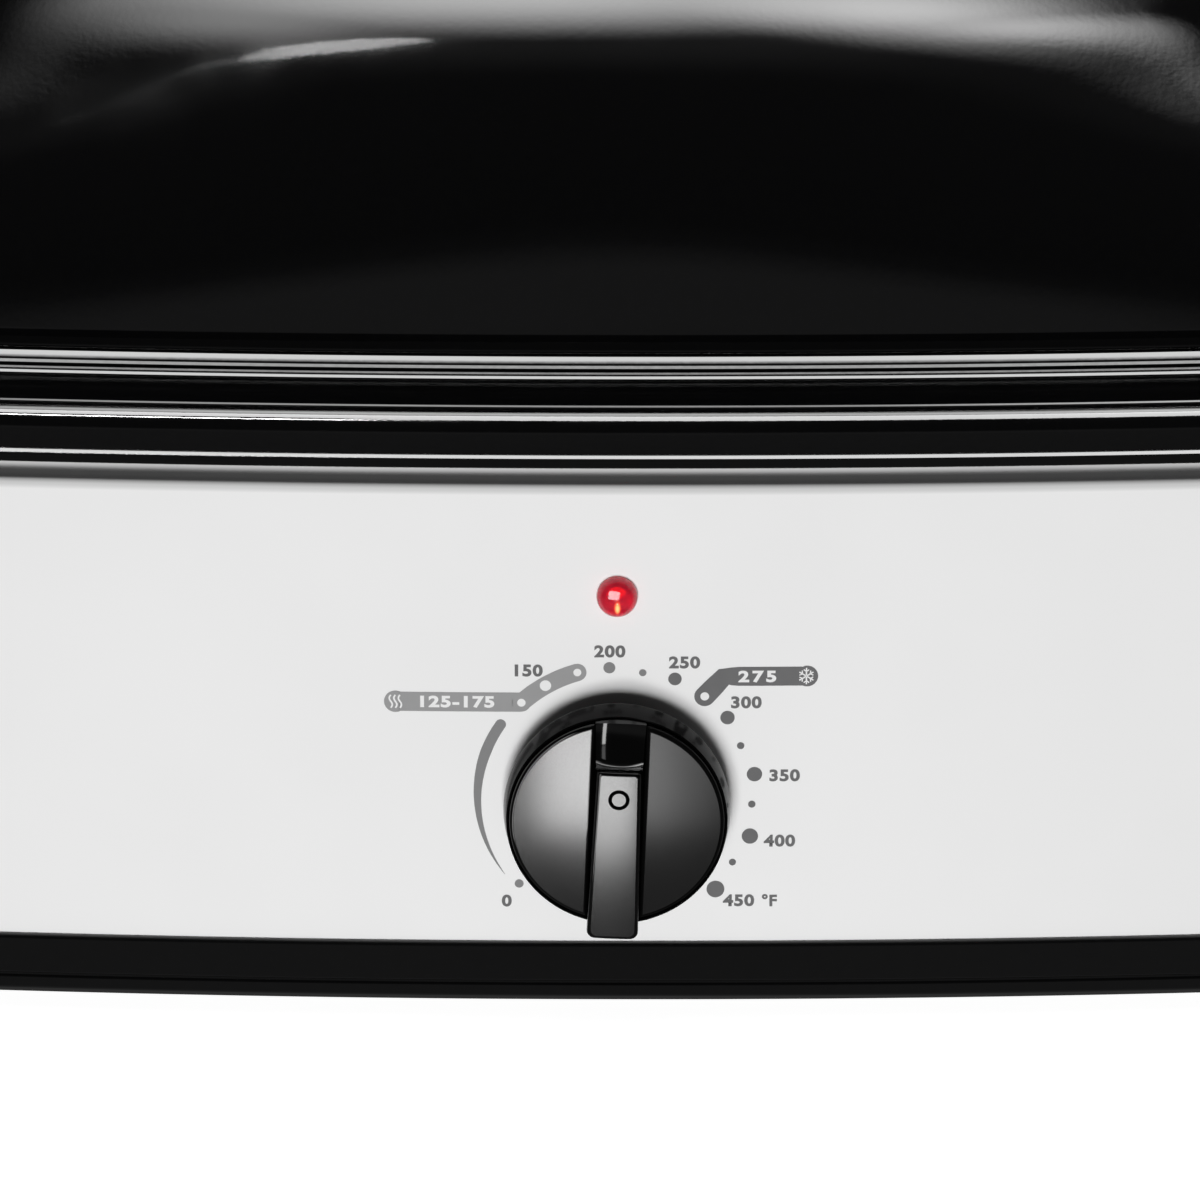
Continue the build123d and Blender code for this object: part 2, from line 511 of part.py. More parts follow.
def dome_sections(t):
    out = []
    n = len(DOME)
    for i, (z, b, a, al, be, rc) in enumerate(DOME):
        if i == 0:
            out.append(plan_wire(z, -21.5 - t))
            continue
        j0, j1 = max(i - 1, 0), min(i + 1, n - 1)
        dz = DOME[j1][0] - DOME[j0][0]
        db = DOME[j0][1] - DOME[j1][1]
        da = DOME[j0][2] - DOME[j1][2]
        lb = math.hypot(dz, db)
        la = math.hypot(dz, da)
        nb, na, nz = dz / lb, dz / la, (db / lb + da / la) / 2
        k = t * (nb + na) / 2
        out.append(plan_wire(z - t * nz, 0.0, oval(a - t * na, b - t * nb, math.radians(al), math.radians(be), rc - k)))
    return out


def bottom_cap(s):
    return min(s.faces(), key=lambda f: f.center().Z)


dome_outer = Solid.make_loft(dome_sections(0.0), False)
dome_inner = Solid.make_loft(dome_sections(LID_T), False)
cap_o, cap_i = bottom_cap(dome_outer), bottom_cap(dome_inner)
skin = [f for f in dome_outer.faces() if f.center().Z > 152.01] + [f for f in dome_inner.faces() if f.center().Z > 152.01]
dome_shell = Part(Solid(Shell(skin + [Face(cap_o.outer_wire(), [cap_i.outer_wire()])])).wrapped)
lid_shell = lid_rim + dome_shell
LID_TOP = DOME[-1][0]
LH_X = 52.0
for sx in (-1, 1):
    lid_shell -= rod((sx * LH_X, 0, 235), (sx * LH_X, 0, 252), 2.3)
for sx in (-1, 1):
    for z in (161.0, 173.0):
        lid_shell -= hole_y(sx * HINGE_X, z, 2.05, 140, 175)
keep("lid_shell", lid_shell)

side = Plane.XZ * make_face(Polyline((-66, LID_TOP + 0.05), (-61, LID_TOP + 22), (-44, LID_TOP + 38), (44, LID_TOP + 38), (61, LID_TOP + 22), (66, LID_TOP + 0.05), close=True))
lid_handle = extrude(side, 14.0, both=True)
lid_handle = fillet([e for e in lid_handle.edges().filter_by(Axis.Y) if e.center().Z > LID_TOP + 14], 16.0)
gapf = Plane.XZ * (Pos(0, LID_TOP + 13.8) * RectangleRounded(78.0, 24.0, 9.0))
lid_handle -= extrude(gapf, 20.0, both=True)
lid_handle -= box(-39.0, 39.0, -20, 20, LID_TOP - 1, LID_TOP + 10)
for r in (3.5, 2.5, 1.5):
    try:
        lid_handle = fillet([e for e in lid_handle.edges() if abs(abs(e.center().Y) - 14.0) < 0.01 and e.center().Z > LID_TOP + 1.8], r)
        print("lid handle edge radius", r)
        break
    except Exception:
        pass
for sx in (-1, 1):
    lid_handle -= rod((sx * LH_X, 0, LID_TOP - 3), (sx * LH_X, 0, LID_TOP + 16), 2.05)
keep("lid_handle", lid_handle)
zi = LID_TOP - LID_T
keep("lid_handle_screws", [rod((sx * LH_X, 0, zi - 3.4), (sx * LH_X, 0, zi - 1.2), 3.8) + rod((sx * LH_X, 0, zi - 1.2), (sx * LH_X, 0, LID_TOP + 14.5), 2.0) for sx in (-1, 1)])
keep("lid_handle_washers", [rod((sx * LH_X, 0, zi - 1.15), (sx * LH_X, 0, zi - 0.05), 6.5) - rod((sx * LH_X, 0, zi - 3), (sx * LH_X, 0, zi + 1), 2.3) for sx in (-1, 1)])

# ---------------------------------------------------------------- rear hinges
lid_volume = Part(dome_outer.wrapped) + plate(145.0, 152.0, -21.5)
arm_rivets, saddle_rivets, pins = [], [], []
for sx, name in ((-1, "left"), (1, "right")):
    x0 = sx * HINGE_X
    yw = plan_y(HINGE_X, -21.5)
    # arm on the lid: strap up the wall, out over the rims, rolled round its pin
    prof = Plane.YZ.offset(x0 - 8.5) * make_face(Polyline((yw - 8, 152.0), (yw - 8, 181), (yw + 1.9, 181), (yw + 1.9, 152.3), (HINGE_Y, 152.3), (HINGE_Y, 150.3), (yw - 8, 150.3), close=True))
    arm = extrude(prof, 17.0, dir=(1, 0, 0))
    arm -= lid_volume
    arm = single(arm)
    try:
        arm = fillet([e for e in arm.edges().filter_by(Axis.Y) if e.center().Z > 179], 6.0)
    except Exception as err:
        print("arm fillet", err)
    knuckle = rod((x0 - 8.5, HINGE_Y, HINGE_Z), (x0 + 8.5, HINGE_Y, HINGE_Z), 3.1)
    arm = arm + knuckle
    arm -= box(x0 - 10, x0 + 10, HINGE_Y - 3.1, HINGE_Y + 0.0, 152.31, 154)
    arm -= rod((x0 - 12, HINGE_Y, HINGE_Z), (x0 + 12, HINGE_Y, HINGE_Z), PIN_R + 0.02)
    for z in (161.0, 173.0):
        arm -= hole_y(x0, z, 2.05, 140, 175)
        r = hole_y(x0, z, 2.0, yw - 6.5, yw + 1.92)
        head = revolve(outline_face([(0, 0), (3.6, 0), (2.6, 1.3, 0.8), (0, 1.6)], 0.0), axis=Axis.Z)
        r += Location((x0, yw + 1.9, z), (1, 0, 0), -90) * head
        inner = hole_y(x0, z, 3.4, yw - 6.5, yw - 5.0)
        r += inner
        arm_rivets.append(r)
    keep(name + "_hinge_arm", arm)
    pins.append(rod((x0 - 12.8, HINGE_Y, HINGE_Z), (x0 + 12.8, HINGE_Y, HINGE_Z), PIN_R))
    # saddle on the housing: channel with two slotted ears and a stop web
    yp = plan_y(HINGE_X)
    yr = HINGE_Y + 5.4
    ear = make_face(Polyline((yp - 4, 101), (yp - 4, 125), (yp + 4.5, 125), (yp + 10.6, 131.5), (yp + 10.6, 156), (yr, 156), (yr, 112), (yp + 8, 101), close=True))
    saddle = None
    for dx in (-1, 1):
        xe = x0 + dx * 10.3
        e = extrude(Plane.YZ.offset(xe - 1.0) * ear, 2.0, dir=(1, 0, 0))
        saddle = e if saddle is None else saddle + e
    saddle += box(x0 - 11.3, x0 + 11.3, yr - 2.0, yr, 114.5, 156.0)
    saddle += box(x0 - 11.3, x0 + 11.3, yp - 4, yp + 1.6, 101, 125)
    saddle -= body_volume
    saddle -= box(x0 - 14, x0 + 14, HINGE_Y - 2.1, HINGE_Y + 2.1, HINGE_Z, 158)
    saddle -= rod((x0 - 14, HINGE_Y, HINGE_Z), (x0 + 14, HINGE_Y, HINGE_Z), 2.1)
    saddle = single(saddle)
    for z in (107.0, 119.0):
        saddle -= hole_y(x0, z, 2.05, B0 - 16, B0 + 8)
        r = hole_y(x0, z, 2.0, yp - 3.0, yp + 1.7)
        head = revolve(outline_face([(0, 0), (3.6, 0), (2.6, 1.3, 0.8), (0, 1.6)], 0.0), axis=Axis.Z)
        r += Location((x0, yp + 1.65, z), (1, 0, 0), -90) * head
        r += hole_y(x0, z, 3.4, yp - 3.0, yp - 1.35)
        saddle_rivets.append(r)
    keep(name + "_hinge_saddle", saddle)
keep("hinge_pins", pins)
keep("lid_rivets", arm_rivets)
keep("saddle_rivets", saddle_rivets)

# ---------------------------------------------------------------- write
os.makedirs("parts", exist_ok=True)
for old in os.listdir("parts"):
    if old.endswith(".step"):
        os.remove(os.path.join("parts", old))
for name, shape in NODES.items():
    if isinstance(shape, list):
        sol = []
        for s in shape:
            sol += list(s.solids())
        shape = Compound(sol)
    else:
        sol = shape.solids()
        shape = sol[0] if len(sol) == 1 else Compound(list(sol))
    export_step(shape, os.path.join("parts", name + ".step"))
print("nodes", len(NODES))
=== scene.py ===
import json
import math

import bpy
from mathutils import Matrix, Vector

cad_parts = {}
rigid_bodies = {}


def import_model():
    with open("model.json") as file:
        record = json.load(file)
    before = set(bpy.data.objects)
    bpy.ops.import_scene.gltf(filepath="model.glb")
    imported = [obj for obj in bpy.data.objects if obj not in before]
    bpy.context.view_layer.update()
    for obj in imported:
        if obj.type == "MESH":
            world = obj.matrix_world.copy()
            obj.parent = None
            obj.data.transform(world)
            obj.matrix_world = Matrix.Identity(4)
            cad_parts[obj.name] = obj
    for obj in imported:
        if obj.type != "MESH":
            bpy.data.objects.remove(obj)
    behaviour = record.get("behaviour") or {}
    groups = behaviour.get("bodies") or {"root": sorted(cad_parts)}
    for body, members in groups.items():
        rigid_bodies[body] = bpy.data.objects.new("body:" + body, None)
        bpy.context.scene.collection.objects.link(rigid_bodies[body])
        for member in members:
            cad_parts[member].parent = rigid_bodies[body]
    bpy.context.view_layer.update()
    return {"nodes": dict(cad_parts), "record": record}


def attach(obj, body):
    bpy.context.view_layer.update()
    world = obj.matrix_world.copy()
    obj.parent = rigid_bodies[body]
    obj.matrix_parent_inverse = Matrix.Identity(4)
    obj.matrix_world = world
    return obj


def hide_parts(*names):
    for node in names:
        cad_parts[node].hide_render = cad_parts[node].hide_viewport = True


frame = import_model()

MM = 0.001

# ------------------------------------------------------------------ sizes shared with the CAD (mm)
A0, B0 = 252.0, 184.0
RF, RE, RC = 1880.0, 620.0, 112.0
LIP_U, LIP_Z = 5.8, 132.6
COLLAR_TOP, WELL_FLOOR = 144.3, 33.0
PAN_TOP, PAN_FLOOR = 145.55, 37.0
LID_Z0, LID_T, LID_TOP = 145.6, 1.2, 244.6
KNOB_Z, LAMP_Z, KNOB_TURN = 52.2, 100.5, 2.3
DOME = [
    (152.0, 162.5, 230.5, 4.398393, 7.555264, 90.5),
    (172.0, 161.4, 228.6, 6.6, 11.0, 93.0),
    (190.0, 157.8, 222.5, 12.5, 17.5, 108.0),
    (205.0, 150.2, 211.0, 19.5, 24.5, 128.0),
    (216.0, 140.5, 197.5, 23.0, 28.0, 134.0),
    (226.0, 124.0, 177.0, 25.0, 30.0, 126.0),
    (234.0, 101.0, 150.5, 26.0, 31.0, 106.0),
    (240.0, 73.0, 118.0, 27.0, 31.0, 82.0),
    (243.5, 48.0, 88.0, 27.0, 30.0, 58.0),
    (244.6, 34.0, 70.0, 27.0, 29.0, 43.0),
]


# ------------------------------------------------------------------ plan curve
def oval(a, b, al, be, rc):
    p, q, u = 1 - math.cos(be), math.sin(be), a + rc * (math.sin(al) - math.cos(be))
    m, n, v = math.sin(al), 1 - math.cos(al), b - rc * (math.cos(al) - math.sin(be))
    det = m * q - p * n
    rf, re = (u * q - p * v) / det, (m * v - n * u) / det
    cx, cy = (rf - rc) * math.sin(al), -b + rf - (rf - rc) * math.cos(al)
    h = math.pi / 2
    return [
        (0.0, -b + rf, rf, -h - al, -h + al), (cx, cy, rc, -h + al, -be), (a - re, 0.0, re, -be, be),
        (cx, -cy, rc, be, h - al), (0.0, b - rf, rf, h - al, h + al), (-cx, -cy, rc, h + al, math.pi - be),
        (re - a, 0.0, re, math.pi - be, math.pi + be), (-cx, cy, rc, math.pi + be, 3 * h - al),
    ]


AL, BE = math.radians(4.398392975415483), math.radians(7.555264126712949)
PLAN = oval(A0, B0, AL, BE, RC)
STEPS = (48, 40, 20, 40, 48, 40, 20, 40)


def samples(arcs, u=0.0):
    """Points of the plan, offset outward by u, always the same number."""
    out = []
    for (cx, cy, r, t0, t1), n in zip(arcs, STEPS):
        for i in range(n):
            t = t0 + (t1 - t0) * i / n
            out.append((cx + (r + u) * math.cos(t), cy + (r + u) * math.sin(t)))
    return out


def plan_y(x, u=0.0):
    x = abs(x)
    cx, cy, r, t0, t1 = PLAN[1]
    _, fy, fr, t00, t01 = PLAN[0]
    if x <= (fr + u) * math.sin(AL):
        return -(fy - math.sqrt((fr + u) ** 2 - x * x))
    return -(cy - math.sqrt(max((r + u) ** 2 - (x - cx) ** 2, 0.0)))


def plan_x(y, u=0.0):
    ex, _, er, _, _ = PLAN[2]
    return ex + math.sqrt((er + u) ** 2 - y * y)


def rounded(pts, k=7):
    """Closed outline through (u, z[, radius]) corners, with each corner turned into k+1 points."""
    out = []
    n = len(pts)
    for i in range(n):
        p = pts[i]
        r = p[2] if len(p) > 2 else 0.0
        if r <= 0:
            out.append((p[0], p[1]))
            continue
        a, c = pts[i - 1], pts[(i + 1) % n]
        v1, v2 = (a[0] - p[0], a[1] - p[1]), (c[0] - p[0], c[1] - p[1])
        l1, l2 = math.hypot(*v1), math.hypot(*v2)
        v1, v2 = (v1[0] / l1, v1[1] / l1), (v2[0] / l2, v2[1] / l2)
        ang = math.acos(max(-1, min(1, v1[0] * v2[0] + v1[1] * v2[1])))
        t = min(r / math.tan(ang / 2), 0.49 * l1 if len(a) > 2 and a[2] > 0 else 0.98 * l1, 0.49 * l2 if len(c) > 2 and c[2] > 0 else 0.98 * l2)
        r = t * math.tan(ang / 2)
        bx, by = v1[0] + v2[0], v1[1] + v2[1]
        lb = math.hypot(bx, by)
        dc = r / math.sin(ang / 2)
        cx, cy = p[0] + bx / lb * dc, p[1] + by / lb * dc
        s = (p[0] + v1[0] * t - cx, p[1] + v1[1] * t - cy)
        e = (p[0] + v2[0] * t - cx, p[1] + v2[1] * t - cy)
        a0, a1 = math.atan2(s[1], s[0]), math.atan2(e[1], e[0])
        d = (a1 - a0 + math.pi) % (2 * math.pi) - math.pi
        for j in range(k + 1):
            q = a0 + d * j / k
            out.append((cx + r * math.cos(q), cy + r * math.sin(q)))
    return out


# ------------------------------------------------------------------ making pieces
def piece(name, verts, faces, body, mats, replaces=(), index=None, smooth=True, weighted=True, scale=MM):
    me = bpy.data.meshes.new(name)
    me.from_pydata([(x * scale, y * scale, z * scale) for x, y, z in verts], [], faces)
    me.validate()
    ob = bpy.data.objects.new(name, me)
    bpy.context.scene.collection.objects.link(ob)
    mats = mats if isinstance(mats, (list, tuple)) else [mats]
    for m in mats:
        me.materials.append(m)
    if index is not None:
        for p, i in zip(me.polygons, index):
            p.material_index = i
    if smooth:
        me.polygons.foreach_set("use_smooth", [True] * len(me.polygons))
    if weighted:
        w = ob.modifiers.new("normals", "WEIGHTED_NORMAL")
        w.mode = "FACE_AREA"
        w.weight = 60
        w.keep_sharp = True
    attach(ob, body)
    if replaces:
        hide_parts(*replaces)
    return ob


def loops_mesh(loops, closed_profile=False, cap_first=False, cap_last=False):
    """Quads between successive closed loops of equal count; loops run anticlockwise seen from outside when going up."""
    n = len(loops[0])
    verts = [p for lp in loops for p in lp]
    faces = []
    m = len(loops)
    for i in range(m if closed_profile else m - 1):
        a, b = i * n, ((i + 1) % m) * n
        for j in range(n):
            k = (j + 1) % n
            faces.append((a + j, a + k, b + k, b + j))
    if cap_first:
        c = len(verts)
        verts.append(tuple(sum(q[i] for q in loops[0]) / n for i in range(3)))
        for j in range(n):
            faces.append((c, (j + 1) % n, j))
    if cap_last:
        c = len(verts)
        verts.append(tuple(sum(q[i] for q in loops[-1]) / n for i in range(3)))
        a = (m - 1) * n
        for j in range(n):
            faces.append((c, a + j, a + (j + 1) % n))
    return verts, faces


def ring_loops(pts, arcs=PLAN):
    return [[(x, y, z) for x, y in samples(arcs, u)] for u, z in pts]


def tidy(ob):
    """Outward normals."""
    import bmesh
    bm = bmesh.new()
    bm.from_mesh(ob.data)
    bmesh.ops.remove_doubles(bm, verts=bm.verts, dist=1e-7)
    bmesh.ops.recalc_face_normals(bm, faces=bm.faces)
    bm.to_mesh(ob.data)
    bm.free()
    return ob


# ------------------------------------------------------------------ materials
def new_mat(name):
    m = bpy.data.materials.new(name)
    m.use_nodes = True
    nt = m.node_tree
    nt.nodes.clear()
    out = nt.nodes.new("ShaderNodeOutputMaterial")
    b = nt.nodes.new("ShaderNodeBsdfPrincipled")
    nt.links.new(b.outputs[0], out.inputs[0])
    return m, nt, b


def coords(nt, scale=(1, 1, 1)):
    tc = nt.nodes.new("ShaderNodeTexCoord")
    mp = nt.nodes.new("ShaderNodeMapping")
    mp.inputs["Scale"].default_value = scale
    nt.links.new(tc.outputs["Object"], mp.inputs[0])
    return mp.outputs[0]


def noise(nt, vec, scale, detail=2.0, rough=0.5):
    n = nt.nodes.new("ShaderNodeTexNoise")
    n.inputs["Scale"].default_value = scale
    n.inputs["Detail"].default_value = detail
    n.inputs["Roughness"].default_value = rough
    nt.links.new(vec, n.inputs["Vector"])
    return n.outputs["Fac"]


def bump(nt, b, height, dist, strength=1.0, after=None):
    n = nt.nodes.new("ShaderNodeBump")
    n.inputs["Strength"].default_value = strength
    n.inputs["Distance"].default_value = dist
    nt.links.new(height, n.inputs["Height"])
    if after is not None:
        nt.links.new(after, n.inputs["Normal"])
    nt.links.new(n.outputs[0], b.inputs["Normal"])
    return n.outputs[0]


def vary(nt, fac, lo, hi, sock, a=0.35, c=0.65):
    r = nt.nodes.new("ShaderNodeMapRange")
    r.inputs["From Min"].default_value = a
    r.inputs["From Max"].default_value = c
    r.inputs["To Min"].default_value = lo
    r.inputs["To Max"].default_value = hi
    nt.links.new(fac, r.inputs["Value"])
    nt.links.new(r.outputs[0], sock)


def tint(nt, fac, c0, c1, sock):
    r = nt.nodes.new("ShaderNodeValToRGB")
    r.color_ramp.elements[0].position = 0.3
    r.color_ramp.elements[1].position = 0.7
    r.color_ramp.elements[0].color = (*c0, 1)
    r.color_ramp.elements[1].color = (*c1, 1)
    nt.links.new(fac, r.inputs[0])
    nt.links.new(r.outputs[0], sock)


def simple(name, c0, c1=None, rough=(0.4, 0.45), metal=0.0, scale=120.0, bump_mm=0.01, detail=2.0, stretch=(1, 1, 1), **kw):
    m, nt, b = new_mat(name)
    v = coords(nt, stretch)
    n = noise(nt, v, scale, detail)
    tint(nt, n, c0, c1 or c0, b.inputs["Base Color"])
    vary(nt, n, rough[0], rough[1], b.inputs["Roughness"])
    b.inputs["Metallic"].default_value = metal
    if bump_mm:
        bump(nt, b, noise(nt, v, scale * 2.3, detail), bump_mm * MM)
    for k, val in kw.items():
        b.inputs[k.replace("_", " ")].default_value = val
    return m


def enamel(name, peel=0.008, rough=(0.05, 0.09), base=(0.0011, 0.0011, 0.0012)):
    m, nt, b = new_mat(name)
    v = coords(nt)
    big = noise(nt, v, 55.0, 1.0)
    fine = noise(nt, v, 640.0, 1.5, 0.5)
    tint(nt, fine, base, tuple(1.25 * c for c in base), b.inputs["Base Color"])
    vary(nt, big, rough[0], rough[1], b.inputs["Roughness"])
    n1 = nt.nodes.new("ShaderNodeBump")
    n1.inputs["Strength"].default_value = 1.0
    n1.inputs["Distance"].default_value = 0.022 * MM
    nt.links.new(big, n1.inputs["Height"])
    bump(nt, b, fine, peel * MM, after=n1.outputs[0])
    b.inputs["IOR"].default_value = 1.52
    return m


M = {}
M["black_enamel"] = enamel("mat_black_enamel")
M["well_enamel"] = enamel("mat_well_enamel", peel=0.014)
M["speckled_enamel"] = enamel("mat_pan_enamel", peel=0.009, base=(0.0013, 0.0013, 0.0014))

m, nt, b = new_mat("mat_white_paint")
v = coords(nt)
n = noise(nt, v, 30.0, 2.0)
# painted shade: the base colour is multiplied by a ramp on height, which darkens the top of the panel and the underside
# of the flared lip to near black and leaves the lip's face and top at about two thirds of the white
tc = nt.nodes.new("ShaderNodeTexCoord")
sep = nt.nodes.new("ShaderNodeSeparateXYZ")
mr = nt.nodes.new("ShaderNodeMapRange")
mr.inputs["From Min"].default_value = 0.118
mr.inputs["From Max"].default_value = 0.134
rp = nt.nodes.new("ShaderNodeValToRGB")
nt.links.new(tc.outputs["Object"], sep.inputs[0])
nt.links.new(sep.outputs["Z"], mr.inputs["Value"])
nt.links.new(mr.outputs[0], rp.inputs[0])
# height in m and grey level of each stop of the painted shade
painted_shade_stops = ((0.1185, 0.80), (0.1235, 0.80), (0.1240, 0.69), (0.1245, 0.60), (0.12495, 0.56), (0.1254, 0.44), (0.1259, 0.28), (0.1262, 0.12), (0.1265, 0.03), (0.1272, 0.006), (0.1293, 0.006), (0.1298, 0.035), (0.1303, 0.10), (0.1308, 0.26), (0.1313, 0.46), (0.1318, 0.54), (0.1327, 0.54))
rp.color_ramp.elements[0].position = (painted_shade_stops[0][0] - 0.118) / 0.016
rp.color_ramp.elements[0].color = (0.8, 0.8, 0.8, 1)
rp.color_ramp.elements[1].position = (painted_shade_stops[-1][0] - 0.118) / 0.016
rp.color_ramp.elements[1].color = (0.54, 0.54, 0.54, 1)
for z_, val in painted_shade_stops[1:-1]:
    e_ = rp.color_ramp.elements.new((z_ - 0.118) / 0.016)
    e_.color = (val, val, val, 1)
mx = nt.nodes.new("ShaderNodeMix")
mx.data_type = "RGBA"
mx.blend_type = "MULTIPLY"
mx.inputs["Factor"].default_value = 1.0
rc = nt.nodes.new("ShaderNodeValToRGB")
rc.color_ramp.elements[0].position, rc.color_ramp.elements[0].color = 0.3, (0.985, 0.985, 0.985, 1)
rc.color_ramp.elements[1].position, rc.color_ramp.elements[1].color = 0.7, (1, 1, 1, 1)
nt.links.new(n, rc.inputs[0])
nt.links.new(rp.outputs[0], mx.inputs[6])
nt.links.new(rc.outputs[0], mx.inputs[7])
nt.links.new(mx.outputs[2], b.inputs["Base Color"])
vary(nt, noise(nt, v, 200.0), 0.16, 0.2, b.inputs["Roughness"])
bump(nt, b, noise(nt, v, 420.0, 2.0), 0.006 * MM)
b.inputs["IOR"].default_value = 1.15
M["white_paint"] = m

M["black_moulding"] = simple("mat_black_moulding", (0.0018, 0.0018, 0.0019), (0.0022, 0.0022, 0.0023), rough=(0.3, 0.35), scale=500.0, bump_mm=0.004)
M["black_rubber"] = simple("mat_black_rubber", (0.012, 0.012, 0.012), (0.018, 0.018, 0.018), rough=(0.65, 0.8), scale=400.0, bump_mm=0.03)
M["knob_gloss"] = simple("mat_knob_gloss", (0.0011, 0.0011, 0.0011), (0.0013, 0.0013, 0.0013), rough=(0.05, 0.08), scale=150.0, bump_mm=0.004, IOR=1.3)
M["knob_plastic"] = M["knob_gloss"]
M["knob_wall"] = simple("mat_knob_wall", (0.002, 0.002, 0.002), (0.0026, 0.0026, 0.0026), rough=(0.14, 0.18), scale=150.0, bump_mm=0.003, IOR=1.12)
M["knob_ramp"] = simple("mat_knob_ramp", (0.001, 0.001, 0.001), (0.0012, 0.0012, 0.0012), rough=(0.07, 0.1), scale=150.0, bump_mm=0.003, IOR=1.5)
M["knob_mark"] = simple("mat_knob_mark", (0.0008, 0.0008, 0.0008), (0.001, 0.001, 0.001), rough=(0.4, 0.5), scale=300.0, bump_mm=0.002, IOR=1.05)
M["knob_satin"] = simple("mat_knob_satin", (0.004, 0.004, 0.004), (0.005, 0.005, 0.005), rough=(0.22, 0.25), scale=2500.0, bump_mm=0.004)
M["plated_steel"] = simple("mat_plated_steel", (0.55, 0.55, 0.54), (0.66, 0.66, 0.65), rough=(0.25, 0.38), metal=1.0, scale=220.0, bump_mm=0.01)
M["chromed_wire"] = simple("mat_chromed_wire", (0.72, 0.72, 0.73), (0.78, 0.78, 0.79), rough=(0.06, 0.12), metal=1.0, scale=160.0, bump_mm=0.004)
M["aluminised_steel"] = simple("mat_aluminised_steel", (0.58, 0.58, 0.57), (0.68, 0.68, 0.67), rough=(0.35, 0.5), metal=1.0, scale=90.0, bump_mm=0.01)
M["mica_band"] = simple("mat_mica_band", (0.5, 0.47, 0.4), (0.62, 0.58, 0.5), rough=(0.35, 0.5), metal=0.7, scale=90.0)
M["glass_fibre"] = simple("mat_glass_fibre", (0.7, 0.66, 0.55), (0.85, 0.82, 0.74), rough=(0.85, 0.95), scale=700.0, bump_mm=0.3, detail=4.0)
M["brown_phenolic"] = simple("mat_brown_phenolic", (0.03, 0.02, 0.015), (0.045, 0.03, 0.02), rough=(0.4, 0.5), scale=500.0)
M["steatite"] = simple("mat_steatite", (0.68, 0.66, 0.6), (0.76, 0.74, 0.68), rough=(0.5, 0.6), scale=600.0)
M["lead_sleeve"] = simple("mat_lead_sleeve", (0.55, 0.53, 0.47), (0.65, 0.62, 0.56), rough=(0.6, 0.7), scale=900.0, bump_mm=0.05)
M["brass_contact"] = simple("mat_brass_contact", (0.7, 0.5, 0.22), (0.78, 0.58, 0.28), rough=(0.2, 0.3), metal=1.0, scale=200.0)
M["white_nylon"] = simple("mat_white_nylon", (0.7, 0.7, 0.68), (0.74, 0.74, 0.72), rough=(0.4, 0.5), scale=300.0)
M["print_dark"] = simple("mat_print_dark", (0.14, 0.14, 0.142), (0.15, 0.15, 0.152), rough=(0.3, 0.36), scale=300.0, bump_mm=0.003)
M["print_mid"] = simple("mat_print_mid", (0.215, 0.215, 0.217), (0.225, 0.225, 0.227), rough=(0.3, 0.36), scale=300.0, bump_mm=0.003)
M["print_light"] = simple("mat_print_light", (0.30, 0.30, 0.302), (0.31, 0.31, 0.312), rough=(0.3, 0.36), scale=300.0, bump_mm=0.003)
M["print_white"] = simple("mat_print_white", (0.80, 0.80, 0.80), (0.815, 0.815, 0.815), rough=(0.2, 0.26), scale=300.0, bump_mm=0.003)

m, nt, b = new_mat("mat_red_lens")
v = coords(nt)
n = noise(nt, v, 700.0, 2.0)
tint(nt, n, (0.56, 0.016, 0.040), (0.65, 0.020, 0.050), b.inputs["Base Color"])
vary(nt, n, 0.06, 0.1, b.inputs["Roughness"])
bump(nt, b, n, 0.01 * MM)
b.inputs["Transmission Weight"].default_value = 0.35
b.inputs["IOR"].default_value = 1.49
# painted glow: emission in the lens material stands in for the lamp's light seen through it, an upright orange streak
# under the middle, a redder right side and a dim wide patch low down
gl = nt.nodes.new("ShaderNodeTexCoord")
total = None
for cx, cz, rx, rz, col, soft in ((0.08, LAMP_Z - 1.8, 0.95, 2.2, (0.9, 0.20, 0.05), 0.85), (0.1, LAMP_Z - 1.95, 0.68, 1.75, (0.6, 0.52, 0.19), 0.85), (3.0, LAMP_Z - 0.9, 1.3, 2.6, (0.20, 0.0, 0.004), 1.0), (-1.2, LAMP_Z - 3.1, 2.2, 0.8, (0.10, 0.01, 0.005), 1.0)):
    mp = nt.nodes.new("ShaderNodeMapping")
    mp.vector_type = "TEXTURE"
    mp.inputs["Location"].default_value = (cx * MM, 0.0, cz * MM)
    mp.inputs["Scale"].default_value = (rx * MM, 1.0, rz * MM)
    nt.links.new(gl.outputs["Object"], mp.inputs[0])
    fl = nt.nodes.new("ShaderNodeVectorMath")
    fl.operation = "MULTIPLY"
    fl.inputs[1].default_value = (1, 0, 1)
    nt.links.new(mp.outputs[0], fl.inputs[0])
    ln = nt.nodes.new("ShaderNodeVectorMath")
    ln.operation = "LENGTH"
    nt.links.new(fl.outputs[0], ln.inputs[0])
    mr = nt.nodes.new("ShaderNodeMapRange")
    mr.interpolation_type = "SMOOTHSTEP"
    mr.inputs["From Min"].default_value = 1.0
    mr.inputs["From Max"].default_value = 1.0 - soft
    nt.links.new(ln.outputs["Value"], mr.inputs["Value"])
    sc_ = nt.nodes.new("ShaderNodeVectorMath")
    sc_.operation = "SCALE"
    sc_.inputs[0].default_value = col
    nt.links.new(mr.outputs[0], sc_.inputs["Scale"])
    if total is None:
        total = sc_.outputs[0]
    else:
        ad = nt.nodes.new("ShaderNodeVectorMath")
        ad.operation = "ADD"
        nt.links.new(total, ad.inputs[0])
        nt.links.new(sc_.outputs[0], ad.inputs[1])
        total = ad.outputs[0]
nt.links.new(total, b.inputs["Emission Color"])
b.inputs["Emission Strength"].default_value = 1.0
M["red_lens"] = m

